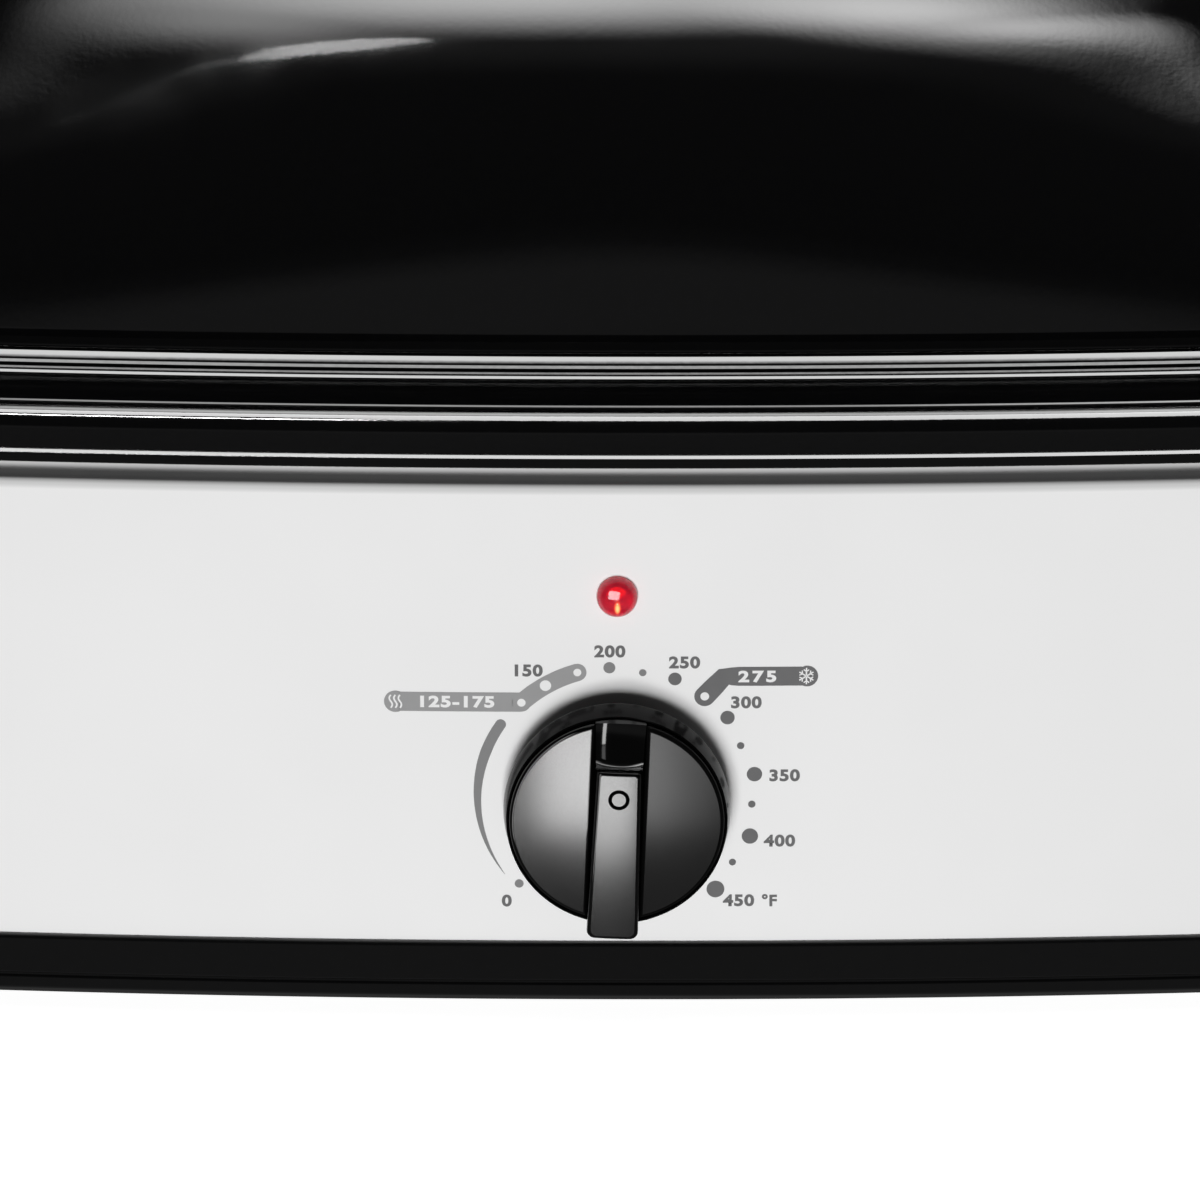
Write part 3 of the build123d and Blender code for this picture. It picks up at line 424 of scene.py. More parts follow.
m, nt, b = new_mat("mat_neon")
v = coords(nt)
n = noise(nt, v, 900.0, 2.0)
tint(nt, n, (1.0, 0.42, 0.12), (1.0, 0.55, 0.18), b.inputs["Base Color"])
tint(nt, n, (1.0, 0.36, 0.06), (1.0, 0.5, 0.12), b.inputs["Emission Color"])
b.inputs["Emission Strength"].default_value = 6.0
b.inputs["Roughness"].default_value = 0.2
M["neon_glass"] = m

for s in frame["record"]["subparts"]:
    node, slot = s["node"], s["material_slot"]
    ob = frame["nodes"][node]
    mat = M[slot]
    if not ob.data.materials:
        ob.data.materials.append(mat)
    for i in range(len(ob.material_slots)):
        ob.material_slots[i].material = mat

# ------------------------------------------------------------------ sheet-metal and moulded rings
W = 4.0 / 111.0


def well_u(z):
    return -22.0 - (COLLAR_TOP - z) * W


def pan_u(z):
    return -26.0 - (PAN_TOP - z) * 5.2 / 108.0


def ring_piece(name, pts, body, mat, replaces, k=7):
    verts, faces = loops_mesh(ring_loops(rounded(pts, k)), closed_profile=True)
    return tidy(piece(name, verts, faces, body, mat, replaces))


def tub_piece(name, outer, inner, body, mat, replaces, k=9):
    """A pressed tub: outer outline from the floor's edge up, then the inner one back down, with closed floors."""
    def flat(o, z, u_edge):
        return [(u_edge * 1.0 - d, z) for d in (0.0,)]
    pts = open_rounded(outer + inner, k)
    loops = ring_loops(pts)
    first = [shrink(loops[0], f) for f in (0.25, 0.5, 0.75)]
    last = [shrink(loops[-1], f) for f in (0.75, 0.5, 0.25)]
    verts, faces = loops_mesh(first + loops + last, cap_first=True, cap_last=True)
    return tidy(piece(name, verts, faces, body, mat, replaces))


def shrink(loop, f):
    return [(x * f, y * f, z) for x, y, z in loop]


def open_rounded(pts, k):
    """As rounded, for an open run of corners: the two ends stay as they are."""
    far = [(pts[0][0] - 500.0, pts[0][1])] + list(pts) + [(pts[-1][0] - 500.0, pts[-1][1])]
    out = rounded([(p[0], p[1]) if i in (0, len(far) - 1) else p for i, p in enumerate(far)], k)
    return out[1:-1]


ring_piece("base_band", [
    (0.08, 17.7), (1.6, 17.7, 1.0), (1.6, 8.8, 0.35), (0.9, 8.4, 0.15), (0.9, 7.9, 0.15), (1.35, 7.5, 0.3),
    (1.35, 5.0, 1.0), (-0.2, 3.4, 0.6), (-13.0, 3.4), (-13.0, 6.0), (-1.4, 6.0), (-1.4, 13.4), (0.08, 13.4),
], "housing", M["black_moulding"], ["base_skirt"])

ring_piece("shell", [
    (0.0, 13.5), (0.0, 126.0, 3.0), (LIP_U, 130.75, 0.4), (LIP_U, LIP_Z, 0.4), (-9.0, LIP_Z), (-9.0, LIP_Z - 0.9),
    (-0.9, LIP_Z - 0.9), (-0.9, 13.5),
], "housing", M["white_paint"], ["housing"])

tub_piece("well", [
    (well_u(WELL_FLOOR) - 21.0, WELL_FLOOR - 1.0), (well_u(WELL_FLOOR), WELL_FLOOR - 1.0, 21.0), (-22.0, COLLAR_TOP - 1.0, 3.0),
    (5.8, COLLAR_TOP - 1.0, 4.0), (5.8, 133.8, 0.4), (1.9, 133.8),
], [
    (1.9, 132.7), (5.2, 132.7), (5.9, 132.42, 0.2), (7.95, 132.42, 0.35), (8.0, 134.68, 0.3), (7.22, 135.29, 0.1), (6.8, 135.31, 0.02), (6.8, COLLAR_TOP, 6.4),
    (-23.0, COLLAR_TOP, 4.0), (well_u(WELL_FLOOR) - 1.0, WELL_FLOOR, 20.0), (-44.0, WELL_FLOOR),
], "housing", M["well_enamel"], ["heat_well"])

tub_piece("pan", [
    (-56.0, PAN_FLOOR - 1.2), (pan_u(PAN_FLOOR), PAN_FLOOR - 1.2, 23.2), (-26.0, 144.35, 3.8), (2.1, 144.35, 0.15),
], [
    (2.05, 144.72, 0.1), (1.6, 145.0, 0.1), (-8.0, PAN_TOP), (-27.2, PAN_TOP, 5.0), (pan_u(PAN_FLOOR) - 1.2, PAN_FLOOR, 22.0), (-57.2, PAN_FLOOR),
], "pan", M["speckled_enamel"], ["insert_pan"])


# ------------------------------------------------------------------ lid
def spline(xs, ys):
    """Natural cubic spline through the points."""
    n = len(xs)
    h = [xs[i + 1] - xs[i] for i in range(n - 1)]
    al = [0.0] * n
    for i in range(1, n - 1):
        al[i] = 3 * ((ys[i + 1] - ys[i]) / h[i] - (ys[i] - ys[i - 1]) / h[i - 1])
    l, mu, z = [1.0] * n, [0.0] * n, [0.0] * n
    for i in range(1, n - 1):
        l[i] = 2 * (xs[i + 1] - xs[i - 1]) - h[i - 1] * mu[i - 1]
        mu[i] = h[i] / l[i]
        z[i] = (al[i] - h[i - 1] * z[i - 1]) / l[i]
    b, c, d = [0.0] * n, [0.0] * n, [0.0] * n
    for j in range(n - 2, -1, -1):
        c[j] = z[j] - mu[j] * c[j + 1]
        b[j] = (ys[j + 1] - ys[j]) / h[j] - h[j] * (c[j + 1] + 2 * c[j]) / 3
        d[j] = (c[j + 1] - c[j]) / (3 * h[j])

    def f(x):
        j = 0
        while j < n - 2 and x > xs[j + 1]:
            j += 1
        t = x - xs[j]
        return ys[j] + b[j] * t + c[j] * t * t + d[j] * t ** 3
    return f


arc_s = [0.0]
for p, q in zip(DOME, DOME[1:]):
    arc_s.append(arc_s[-1] + math.hypot(q[0] - p[0], q[1] - p[1]))
curves = [spline(arc_s, [row[i] for row in DOME]) for i in range(6)]


def dome_loop(s, t=0.0):
    z, bb, aa, al, be, rc = [c(s) for c in curves]
    e = 0.05
    s0, s1 = max(s - e, 0.0), min(s + e, arc_s[-1])
    dz = curves[0](s1) - curves[0](s0)
    db = curves[1](s0) - curves[1](s1)
    da = curves[2](s0) - curves[2](s1)
    if s <= 0:
        nb, na, nz = 1.0, 1.0, 0.0
    else:
        nb, na = dz / math.hypot(dz, db), dz / math.hypot(dz, da)
        nz = 1 - (nb + na) / 2 if nb < 0.999 else 0.0
        nz = math.sqrt(max(0.0, 1 - nb * nb))
    k = t * (nb + na) / 2
    arcs = oval(aa - t * na, bb - t * nb, math.radians(al), math.radians(be), rc - k)
    return [(x, y, z - t * nz) for x, y in samples(arcs)]


ring_piece("lid_rim", [
    (-21.5 - LID_T, 151.95), (-21.5 - LID_T, LID_Z0, 0.3), (-14.6, LID_Z0, 0.05), (-14.65, 145.76, 0.06), (-15.25, 146.22, 0.08), (-16.62, 146.2, 0.08),
    (-17.0, 146.54, 0.08), (-17.05, 147.35, 0.1), (-17.68, 147.9, 0.1), (-17.73, 148.3, 0.1), (-18.11, 148.655), (-18.51, 148.985), (-18.9, 149.27), (-19.2, 149.48, 0.04), (-21.5, 149.5, 0.02), (-21.5, 151.95),
], "lid", M["black_enamel"], [], k=5)
n_dome = 90
inner = [dome_loop(arc_s[-1] * i / n_dome, LID_T) for i in range(n_dome, -1, -1)]
outer = [dome_loop(arc_s[-1] * i / n_dome) for i in range(n_dome + 1)]
top = [[(x * f, y * f, LID_TOP) for x, y, _ in outer[-1]] for f in (0.8, 0.55, 0.3)]
under = [[(x * f, y * f, LID_TOP - LID_T) for x, y, _ in inner[0]] for f in (0.3, 0.55, 0.8)]
verts, faces = loops_mesh(under + inner + outer + top, cap_first=True, cap_last=True)
tidy(piece("lid_dome", verts, faces, "lid", M["black_enamel"], ["lid_shell"]))


# ------------------------------------------------------------------ handles
def bevelled(name, verts, faces, body, mat, replaces, width, seg=4, angle=35):
    ob = piece(name, verts, faces, body, mat, (), weighted=False)
    tidy(ob)
    bv = ob.modifiers.new("edges", "BEVEL")
    bv.width = width * MM
    bv.segments = seg
    bv.limit_method = "ANGLE"
    bv.angle_limit = math.radians(angle)
    bv.harden_normals = True
    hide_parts(*replaces)
    return ob


def fillet2(pts, k=8):
    return rounded(pts, k)


def prism(outline, axis_fn):
    """Closed prism of a 2-D outline; axis_fn(p, side) gives the 3-D point."""
    n = len(outline)
    verts = [axis_fn(p, -1) for p in outline] + [axis_fn(p, 1) for p in outline]
    faces = [tuple(range(n))[::-1], tuple(range(n, 2 * n))]
    for j in range(n):
        k = (j + 1) % n
        faces.append((j, k, n + k, n + j))
    return verts, faces


T = LID_TOP
arch = fillet2([
    (-66, T + 0.05), (-61, T + 22, 16), (-44, T + 38, 16), (44, T + 38, 16), (61, T + 22, 16), (66, T + 0.05),
    (39, T + 0.05), (39, T + 25.8, 9), (-39, T + 25.8, 9), (-39, T + 0.05),
])
verts, faces = prism(arch, lambda p, s: (p[0], 14.0 * s, p[1]))
bevelled("lid_grip", verts, faces, "lid", M["black_moulding"], ["lid_handle"], 3.4)


def side_grip(sx, name, node):
    HZ = 103.0
    outer = rounded([(40.0, -44.0, 9.0), (40.0, 44.0, 9.0), (34.0, 56.0, 9.0), (0.0, 66.0), (0.0, -66.0), (34.0, -56.0, 9.0)], 6)
    verts_o = []
    for d, y in outer:
        base = plan_x(y, 0.06) if d <= 0.0 else A0 + d
        verts_o.append((base, y))
    hole = rounded([(25.0, -46.0, 6.0), (25.0, 46.0, 6.0), (4.0, 46.0, 6.0), (4.0, -46.0, 6.0)], 6)
    hole = [(A0 + d, y) for d, y in hole]
    # equal counts, matched by angle about the gap's centre
    c = (A0 + 14.5, 0.0)
    N = 96

    def at(poly, ang):
        best = None
        dx, dy = math.cos(ang), math.sin(ang)
        for (x1, y1), (x2, y2) in zip(poly, poly[1:] + poly[:1]):
            x1, y1, x2, y2 = x1 - c[0], y1 - c[1], x2 - c[0], y2 - c[1]
            den = dx * (y2 - y1) - dy * (x2 - x1)
            if abs(den) < 1e-9:
                continue
            t = (x1 * (y2 - y1) - y1 * (x2 - x1)) / den
            u = (x1 * dy - y1 * dx) / den
            if t > 0 and -1e-6 <= u <= 1 + 1e-6 and (best is None or t > best):
                best = t
        return (c[0] + dx * best, c[1] + dy * best)

    angs = set()
    for poly in (verts_o, hole):
        for x, y in poly:
            angs.add(round(math.atan2(y - c[1], x - c[0]), 5))
    angs = sorted(angs)
    keep = [angs[0]]
    for q in angs[1:]:
        if q - keep[-1] > 0.012:
            keep.append(q)
    po, ph = [at(verts_o, q) for q in keep], [at(hole, q) for q in keep]
    n = len(keep)
    verts = []
    for poly in (po, ph):
        for z in (HZ - 9.5, HZ + 9.5):
            verts += [(sx * x, y, z) for x, y in poly]
    faces = []
    for j in range(n):
        k = (j + 1) % n
        faces.append((j, k, n + k, n + j))
        faces.append((2 * n + j, 3 * n + j, 3 * n + k, 2 * n + k))
        faces.append((n + j, n + k, 3 * n + k, 3 * n + j))
        faces.append((j, 2 * n + j, 2 * n + k, k))
    bevelled(name, verts, faces, "housing", M["black_moulding"], [node], 3.2, angle=50)


side_grip(-1, "grip_left", "left_handle")
side_grip(1, "grip_right", "right_handle")


# ------------------------------------------------------------------ control knob
ca, sa = math.cos(math.radians(KNOB_TURN)), math.sin(math.radians(KNOB_TURN))


def on_front(x, y, u):
    """Knob frame (x right, y towards the pointer, u outward) to the row frame, turned clockwise."""
    return (x * ca + y * sa, -B0 - u, KNOB_Z - x * sa + y * ca)


R_D, H_RIM, SL = 130.0, 15.85, math.radians(2.6)
# centre of the ball whose surface is the front
BC = (0.0, -(2.3 - R_D) * math.sin(SL), H_RIM + (2.3 - R_D) * math.cos(SL))


def front_u(x, y):
    return BC[2] + math.sqrt(R_D ** 2 - (x - BC[0]) ** 2 - (y - BC[1]) ** 2)


def knob_part(name, outline_at, base_u, top_u, rounding, sat_from, rings=16, extra=None, mats=None, k=8):
    """Solid with a flat back: outline_at(d) is the outline inset by d; top_u(x, y) its front surface."""
    loops, tag = [], []
    o = outline_at(0.0)
    loops.append([(x, y, base_u) for x, y in o])
    loops.append([(x, y, top_u(x, y) - rounding) for x, y in o])
    for j in range(1, k + 1):
        q = math.pi / 2 * j / k
        o = outline_at(rounding * (1 - math.cos(q)))
        loops.append([(x, y, top_u(x, y) - rounding * (1 - math.sin(q))) for x, y in o])
    for d in sat_from:
        o = outline_at(rounding + d)
        loops.append([(x, y, top_u(x, y)) for x, y in o])
    n_gloss = len(loops) - 1
    last = o
    cx = sum(x for x, _ in last) / len(last)
    cy = sum(y for _, y in last) / len(last)
    for j in range(1, rings):
        f = 1 - j / rings
        loops.append([(cx + (x - cx) * f, cy + (y - cy) * f, top_u(cx + (x - cx) * f, cy + (y - cy) * f)) for x, y in last])
    verts, faces = loops_mesh([[on_front(*p) for p in lp] for lp in loops], cap_first=True, cap_last=True)
    n = len(last)
    index = [2] * n + [0] * (n * (n_gloss - 1)) + [1] * (n * (len(loops) - 1 - n_gloss)) + [0] * n + [1] * n
    ob = piece(name, verts, faces, "knob", mats or [M["knob_gloss"], M["knob_satin"], M["knob_wall"]], (), index=index)
    tidy(ob)
    return ob


R_K = 24.55
R_FACE = 23.95
CH = 5.68


def d_outline(sx):
    def f(d):
        r = R_FACE - d
        xc = CH + d
        # a straight run down the chord, then the arc round the outer side
        pts = []
        h = math.sqrt(r * r - xc * xc)
        a0 = math.atan2(-h, xc)
        cr = 0.7
        n1, n2 = 26, 64
        for i in range(n1):
            pts.append((xc, h - 2 * h * i / n1))
        for i in range(n2):
            q = a0 + (-2 * a0) * i / n2
            pts.append((r * math.cos(q), r * math.sin(q)))
        return [(sx * x, y) for x, y in pts]
    return f


dL = knob_part("knob_face_left", d_outline(-1), 6.6, front_u, 0.85, (0.12,))
dR = knob_part("knob_face_right", d_outline(1), 6.6, front_u, 0.85, (0.12,), mats=[M["knob_wall"], M["knob_satin"], M["knob_wall"]])

# skirt: the full round body up to the channel's floor, then the outer wall behind the faces
N = 160
prof = [(8.0, 1.5), (22.4, 1.5), (22.7, 1.8), (25.1, 7.4), (25.3, 7.9), (25.28, 8.2), (24.6, 14.6), (24.0, 14.6), (24.0, 7.75), (0.01, 7.75)]
loops = [[on_front(r * math.sin(2 * math.pi * j / N), r * math.cos(2 * math.pi * j / N), u) for j in range(N)] for r, u in prof]
verts, faces = loops_mesh(loops)
inner_n = len(verts)
sk = tidy(piece("knob_skirt", verts, faces, "knob", M["knob_wall"], ["control_knob"]))


def bar_outline(d):
    yt, yb = 14.6 - d, -26.3 + d
    wt, wb = 4.85 - d, 5.75 - d
    cr_t, cr_b = max(0.9 - d * 0.5, 0.2), max(1.8 - d * 0.5, 0.3)
    dense = []
    pts = rounded([(-wt, yt, cr_t), (-wb, yb, cr_b), (wb, yb, cr_b), (wt, yt, cr_t)], 6)
    # resample the two long sides so that the front follows its curve
    out = []
    for i, p in enumerate(pts):
        q = pts[(i + 1) % len(pts)]
        L = math.hypot(q[0] - p[0], q[1] - p[1])
        m_ = 26 if L > 20 else (8 if L > 4 else 1)
        for j in range(m_):
            out.append((p[0] + (q[0] - p[0]) * j / m_, p[1] + (q[1] - p[1]) * j / m_))
    return out


def bar_u(x, y):
    # flat near its upper end, then falling away to the other, slightly crowned across
    return 23.85 - (y - 12.0) ** 2 / 400.0 - 0.010 * x * x


knob_part("knob_bar", bar_outline, 6.0, bar_u, 0.75, (0.08,), rings=14)

# ramp between the faces: a crowned floor that sweeps up into the end of the bar
rows, cols = 44, 28
grid = []
for i in range(rows + 1):
    t = i / rows
    if t < 0.5:
        y = 24.35 - (24.35 - 16.1) * t / 0.5
        rise = 1.9 * (t / 0.5) ** 2
    else:
        q = math.radians(24.0) + math.radians(64.0) * (t - 0.5) / 0.5
        y, rise = 16.1 - 2.3 * (math.sin(q) - math.sin(math.radians(24.0))), 1.9 + 2.3 * (math.cos(math.radians(24.0)) - math.cos(q))
    half = 5.66 - 0.5 * min(1.0, (24.35 - y) / 10.6)
    line = []
    for j in range(cols + 1):
        x = -half + 2 * half * j / cols
        yy = min(y, math.sqrt(R_K ** 2 - x * x) - 0.35)
        sag = 11.5 - math.sqrt(11.5 ** 2 - x * x)
        line.append((x, yy, 18.0 + rise - sag * (1.0 if t <= 0.5 else max(0.0, 1 - (t - 0.5) / 0.5))))
    grid.append(line)
verts, faces = [], []
for line in grid:
    verts += [on_front(*p) for p in line]
for i in range(rows):
    for j in range(cols):
        a = i * (cols + 1) + j
        faces.append((a, a + 1, a + cols + 2, a + cols + 1))
# skirt of the ramp down to the channel's floor
edge_ids = [j for j in range(cols + 1)] + [i * (cols + 1) + cols for i in range(1, rows + 1)] + [rows * (cols + 1) + j for j in range(cols - 1, -1, -1)] + [i * (cols + 1) for i in range(rows - 1, 0, -1)]
flat_pts = [p for line in grid for p in line]
b0 = len(verts)
for k in edge_ids:
    x, y, u = flat_pts[k]
    verts.append(on_front(x, y, 7.0))
ne = len(edge_ids)
for j in range(ne):
    k = (j + 1) % ne
    faces.append((edge_ids[j], edge_ids[k], b0 + k, b0 + j))
faces.append(tuple(b0 + j for j in range(ne)))
rp = piece("knob_ramp", verts, faces, "knob", [M["knob_ramp"], M["knob_wall"]], (), index=[0] * (rows * cols) + [1] * (len(faces) - rows * cols), weighted=False)
tidy(rp)
for p in rp.data.polygons:
    p.use_smooth = True
rp.data.set_sharp_from_angle(angle=math.radians(50))

# ring mark: a thin dark, dull torus just proud of the bar's front; its dark colour is painted shade that gives the look
# of a sunk ring
def ring_mark(cx, cy, ro, ri, lift):
    n = 48
    loops = []
    for r, du in ((ro, -0.1), (ro, lift), ((ro + ri) / 2, lift * 1.3), (ri, lift), (ri, -0.1)):
        loops.append([on_front(cx + r * math.cos(2 * math.pi * j / n), cy + r * math.sin(2 * math.pi * j / n), bar_u(cx + r * math.cos(2 * math.pi * j / n), cy + r * math.sin(2 * math.pi * j / n)) + du) for j in range(n)])
    return loops_mesh(loops)


verts, faces = ring_mark(0.15, 8.3, 2.38, 1.54, 0.03)
tidy(piece("knob_ring_mark", verts, faces, "knob", M["knob_mark"], ()))


# ------------------------------------------------------------------ pilot light
def lathe(name, prof, centre, body, mat, replaces, n=72):
    loops = [[(centre[0] + r * math.sin(2 * math.pi * j / n), centre[1] - u, centre[2] + r * math.cos(2 * math.pi * j / n)) for j in range(n)] for r, u in prof]
    verts, faces = loops_mesh(loops)
    return tidy(piece(name, verts, faces, body, mat, replaces))


# dome of the lens over its inner cavity
prof = [(2.5, -2.6), (4.0, -2.6), (4.0, 0.03), (4.5, 0.03), (4.62, 0.15), (4.62, 0.6)]
for j in range(1, 15):
    q = math.pi / 2 * j / 14
    prof.append((0.02 + 4.6 * math.cos(q), 0.6 + 4.35 * math.sin(q)))
prof2 = [(0.02, 2.2), (2.1, 2.0), (2.5, 1.6), (2.5, -2.6)]
lathe("lens", prof + prof2, (0.0, -B0, LAMP_Z - 0.45), "housing", M["red_lens"], ["indicator_lens"])


# ------------------------------------------------------------------ printed scale
PR = 0.045
S = 0.222
EL = math.radians(20.7)


def on_panel(x, z, lift=PR):
    return (x, -plan_y(x, lift), z)


def print_disc(name, x, z, r, mat, lift=PR, n=40):
    verts = [on_panel(x, z, lift)] + [on_panel(x + r * math.cos(2 * math.pi * j / n), z + r * math.sin(2 * math.pi * j / n), lift) for j in range(n)]
    faces = [(0, 1 + j, 1 + (j + 1) % n) for j in range(n)]
    return piece(name, verts, faces, "housing", M[mat], (), weighted=False)


def at_dial(deg, r):
    q = math.radians(deg)
    return r * math.sin(q), KNOB_Z + r * math.cos(q)


DR = 139.0 * S
marks = [(-133.4, 9.0, 136.0, "print_mid"), (-3.2, 12.0, 139.0, "print_mid"), (10.9, 7.5, 136.0, "print_mid"), (24.6, 13.5, 139.5, "print_dark"),
         (52.4, 14.5, 140.0, "print_dark"), (66.0, 7.5, 136.0, "print_dark"), (79.9, 15.5, 140.5, "print_dark"), (93.2, 7.5, 136.0, "print_dark"),
         (107.4, 16.5, 140.5, "print_dark"), (121.0, 7.2, 136.0, "print_dark"), (134.9, 18.0, 140.5, "print_dark")]
for i, (deg, dia, rad, mat) in enumerate(marks):
    x, z = at_dial(deg, rad * S)
    print_disc("dial_dot_%02d" % i, x, z, dia * S / 2, mat)


def ribbon(name, left, right, mat, lift=PR):
    """Strip between two equally long lists of (x, z)."""
    n = len(left)
    verts = [on_panel(x, z, lift) for x, z in left] + [on_panel(x, z, lift) for x, z in right]
    faces = [(j, j + 1, n + j + 1, n + j) for j in range(n - 1)]
    return piece(name, verts, faces, "housing", M[mat], (), weighted=False)


def band_along(points, widths):
    """Left and right edges of a band along a polyline."""
    left, right = [], []
    n = len(points)
    for i, (x, z) in enumerate(points):
        a, c = points[max(i - 1, 0)], points[min(i + 1, n - 1)]
        dx, dz = c[0] - a[0], c[1] - a[1]
        L = math.hypot(dx, dz)
        nx, nz = -dz / L, dx / L
        w = widths[i] / 2
        left.append((x + nx * w, z + nz * w))
        right.append((x - nx * w, z - nz * w))
    return left, right


def px(x, y):
    """A point of the flat front face from its offset, in pixel units, right of and below the dial's centre."""
    return (x * S, KNOB_Z - y * S / math.cos(EL))


# tapered crescent from the first mark up to the warm band
pts, wid = [], []
for i in range(61):
    t = i / 60
    deg = -126.5 + (126.5 - 56.4) * t
    x, z = at_dial(deg, 140.5 * S)
    pts.append((x, z))
    wid.append((0.3 + 10.7 * min(1.0, t / 0.8) ** 0.9) * S)
l, r = band_along(pts, wid)
ribbon("dial_crescent", l, r, "print_mid")
x, z = pts[-1]
print_disc("dial_crescent_end", x, z, wid[-1] / 2, "print_mid", lift=PR - 0.004)

# warm band: straight label, then along the dial over three light dots
y0 = 702.0 - 797.1
pts = [px(394.8 - 617.4 + 12 * i, y0) for i in range(11)]
pts = [p for p in pts if p[0] < px(518 - 617.4, 0)[0] + 1e-6]
arc = []
for i in range(25):
    deg = -43.5 + (43.5 - 16.6) * i / 24
    arc.append(at_dial(deg, 139.5 * S))
pts = [px(394.8 - 617.4, y0), px(440 - 617.4, y0), px(480 - 617.4, y0), (arc[0][0], px(0, y0)[1])]
w_ = 19.2 * S / math.cos(EL)
l, r = band_along(pts, [w_] * 4)
ribbon("dial_warm_label", l, r, "print_light", lift=PR - 0.002)
print_disc("dial_warm_bend", arc[0][0], arc[0][1], 9.6 * S, "print_light", lift=PR - 0.006)
l, r = band_along(arc, [18.6 * S] * len(arc))
ribbon("dial_warm_band", l, r, "print_light")
pts = [pts[0], arc[-1]]
print_disc("dial_warm_end_a", pts[0][0], pts[0][1], 11.8 * S * 0.97, "print_light", lift=PR - 0.004)
print_disc("dial_warm_end_b", pts[-1][0], pts[-1][1], 9.2 * S, "print_light", lift=PR - 0.004)
for i, (deg, dia) in enumerate(((-43.5, 8.4), (-31.0, 11.4), (-16.6, 8.0))):
    x, z = at_dial(deg, 139.5 * S)
    print_disc("dial_warm_dot_%d" % i, x, z, dia * S / 2, "print_white", lift=PR + 0.03)

# defrost band
p0 = at_dial(39.1, 139.5 * S)
pts = [p0, px(714.5 - 617.4, 686.5 - 797.1), px(724.5 - 617.4, 676.5 - 797.1), px(732 - 617.4, 676.1 - 797.1)] + [px(740 - 617.4 + 8.5 * i, 676.0 - 797.1) for i in range(9)]
wid = [21.0 * S, 20.5 * S, 19.5 * S, 19.0 * S] + [18.9 * S / math.cos(EL)] * 9
l, r = band_along(pts, wid)
ribbon("dial_low_band", l, r, "print_dark")
print_disc("dial_low_end_a", p0[0], p0[1], 10.5 * S, "print_dark", lift=PR - 0.004)
print_disc("dial_low_end_b", pts[-1][0], pts[-1][1], 11.4 * S * 0.97, "print_dark", lift=PR - 0.004)
print_disc("dial_low_dot", p0[0], p0[1], 4.4 * S, "print_white", lift=PR + 0.03)


def label(name, text, px_x, px_y, height_px, mat, bold=0.0, spacing=1.0, lift=PR, sx=1.0):
    """Text centred at a place on the panel; height is that of a capital."""
    cu = bpy.data.curves.new(name, "FONT")
    cu.body = text
    cu.align_x = "CENTER"
    cu.align_y = "CENTER"
    cap = 0.73
    cu.size = height_px * S / cap * MM / math.cos(EL)
    cu.offset = bold * MM
    cu.space_character = spacing
    cu.resolution_u = 6
    tmp = bpy.data.objects.new(name + "_t", cu)
    bpy.context.scene.collection.objects.link(tmp)
    bpy.context.view_layer.update()
    me = bpy.data.meshes.new_from_object(tmp)
    bpy.data.objects.remove(tmp)
    bpy.data.curves.remove(cu)
    xs = [v_.co.x for v_ in me.vertices]
    ys = [v_.co.y for v_ in me.vertices]
    mx, my = (min(xs) + max(xs)) / 2, (min(ys) + max(ys)) / 2
    x0, z0 = px(px_x - 617.4, px_y - 797.1)
    for v_ in me.vertices:
        x = x0 + (v_.co.x - mx) / MM * sx
        z = z0 + (v_.co.y - my) / MM
        p = on_panel(x, z, lift)
        v_.co = Vector(p) * MM
    ob = bpy.data.objects.new(name, me)
    bpy.context.scene.collection.objects.link(ob)
    me.materials.clear()
    me.materials.append(M[mat])
    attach(ob, "housing")
    return ob


for i, (t, x, y) in enumerate((("150", 528.8, 670.3), ("200", 610.1, 651), ("250", 685, 662), ("300", 747.2, 702), ("350", 786.1, 775.4), ("400", 781.3, 841.2), ("450", 740.3, 901.4))):
    label("dial_number_%d" % i, t, x, y, 11.4, "print_dark", bold=0.15, spacing=1.1, sx=1.16)
label("dial_unit", "°F", 771.5, 901.4, 11.4, "print_dark", bold=0.13, spacing=1.05, sx=1.05)
label("dial_zero", "0", 506, 902, 11.4, "print_dark", bold=0.15, sx=1.16)
label("dial_warm_text", "125-175", 457, 701.9, 11.0, "print_white", bold=0.15, spacing=1.12, lift=PR + 0.03, sx=1.32)
label("dial_low_text", "275", 758, 676.2, 11.0, "print_white", bold=0.15, spacing=1.3, lift=PR + 0.03, sx=1.32)


# generic warm sign: three rising waves
def stroke(name, pts, w, mat, lift):
    l, r = band_along(pts, [w] * len(pts))
    return ribbon(name, l, r, mat, lift)


for i, dx in enumerate((-4.6, 0.0, 4.6)):
    pts = []
    for j in range(25):
        t = j / 24
        pts.append(px(394.8 - 617.4 + dx + 1.5 * math.sin(2 * math.pi * t), 708.5 - 797.1 - 13.0 * t))
    stroke("dial_wave_%d" % i, pts, 1.7 * S, "print_white", PR + 0.03)

# generic frost sign: six arms with two barbs each
for i in range(3):
    q = math.pi * i / 3
    c = (807.3 - 617.4, 676.0 - 797.1)
    a = px(c[0] - 8.2 * math.sin(q), c[1] - 8.2 * math.cos(q))
    e = px(c[0] + 8.2 * math.sin(q), c[1] + 8.2 * math.cos(q))
    stroke("dial_frost_%d" % i, [a, px(*c), e], 1.4 * S, "print_white", PR + 0.03)
    for s_ in (-1, 1):
        for w_ in (-1, 1):
            m0 = (c[0] + s_ * 4.6 * math.sin(q), c[1] + s_ * 4.6 * math.cos(q))
            qq = q + w_ * math.radians(55)
            stroke("dial_barb_%d_%d_%d" % (i, s_ + 1, w_ + 1), [px(*m0), px(m0[0] + s_ * 3.3 * math.sin(qq), m0[1] + s_ * 3.3 * math.cos(qq))], 1.2 * S, "print_white", PR + 0.034)

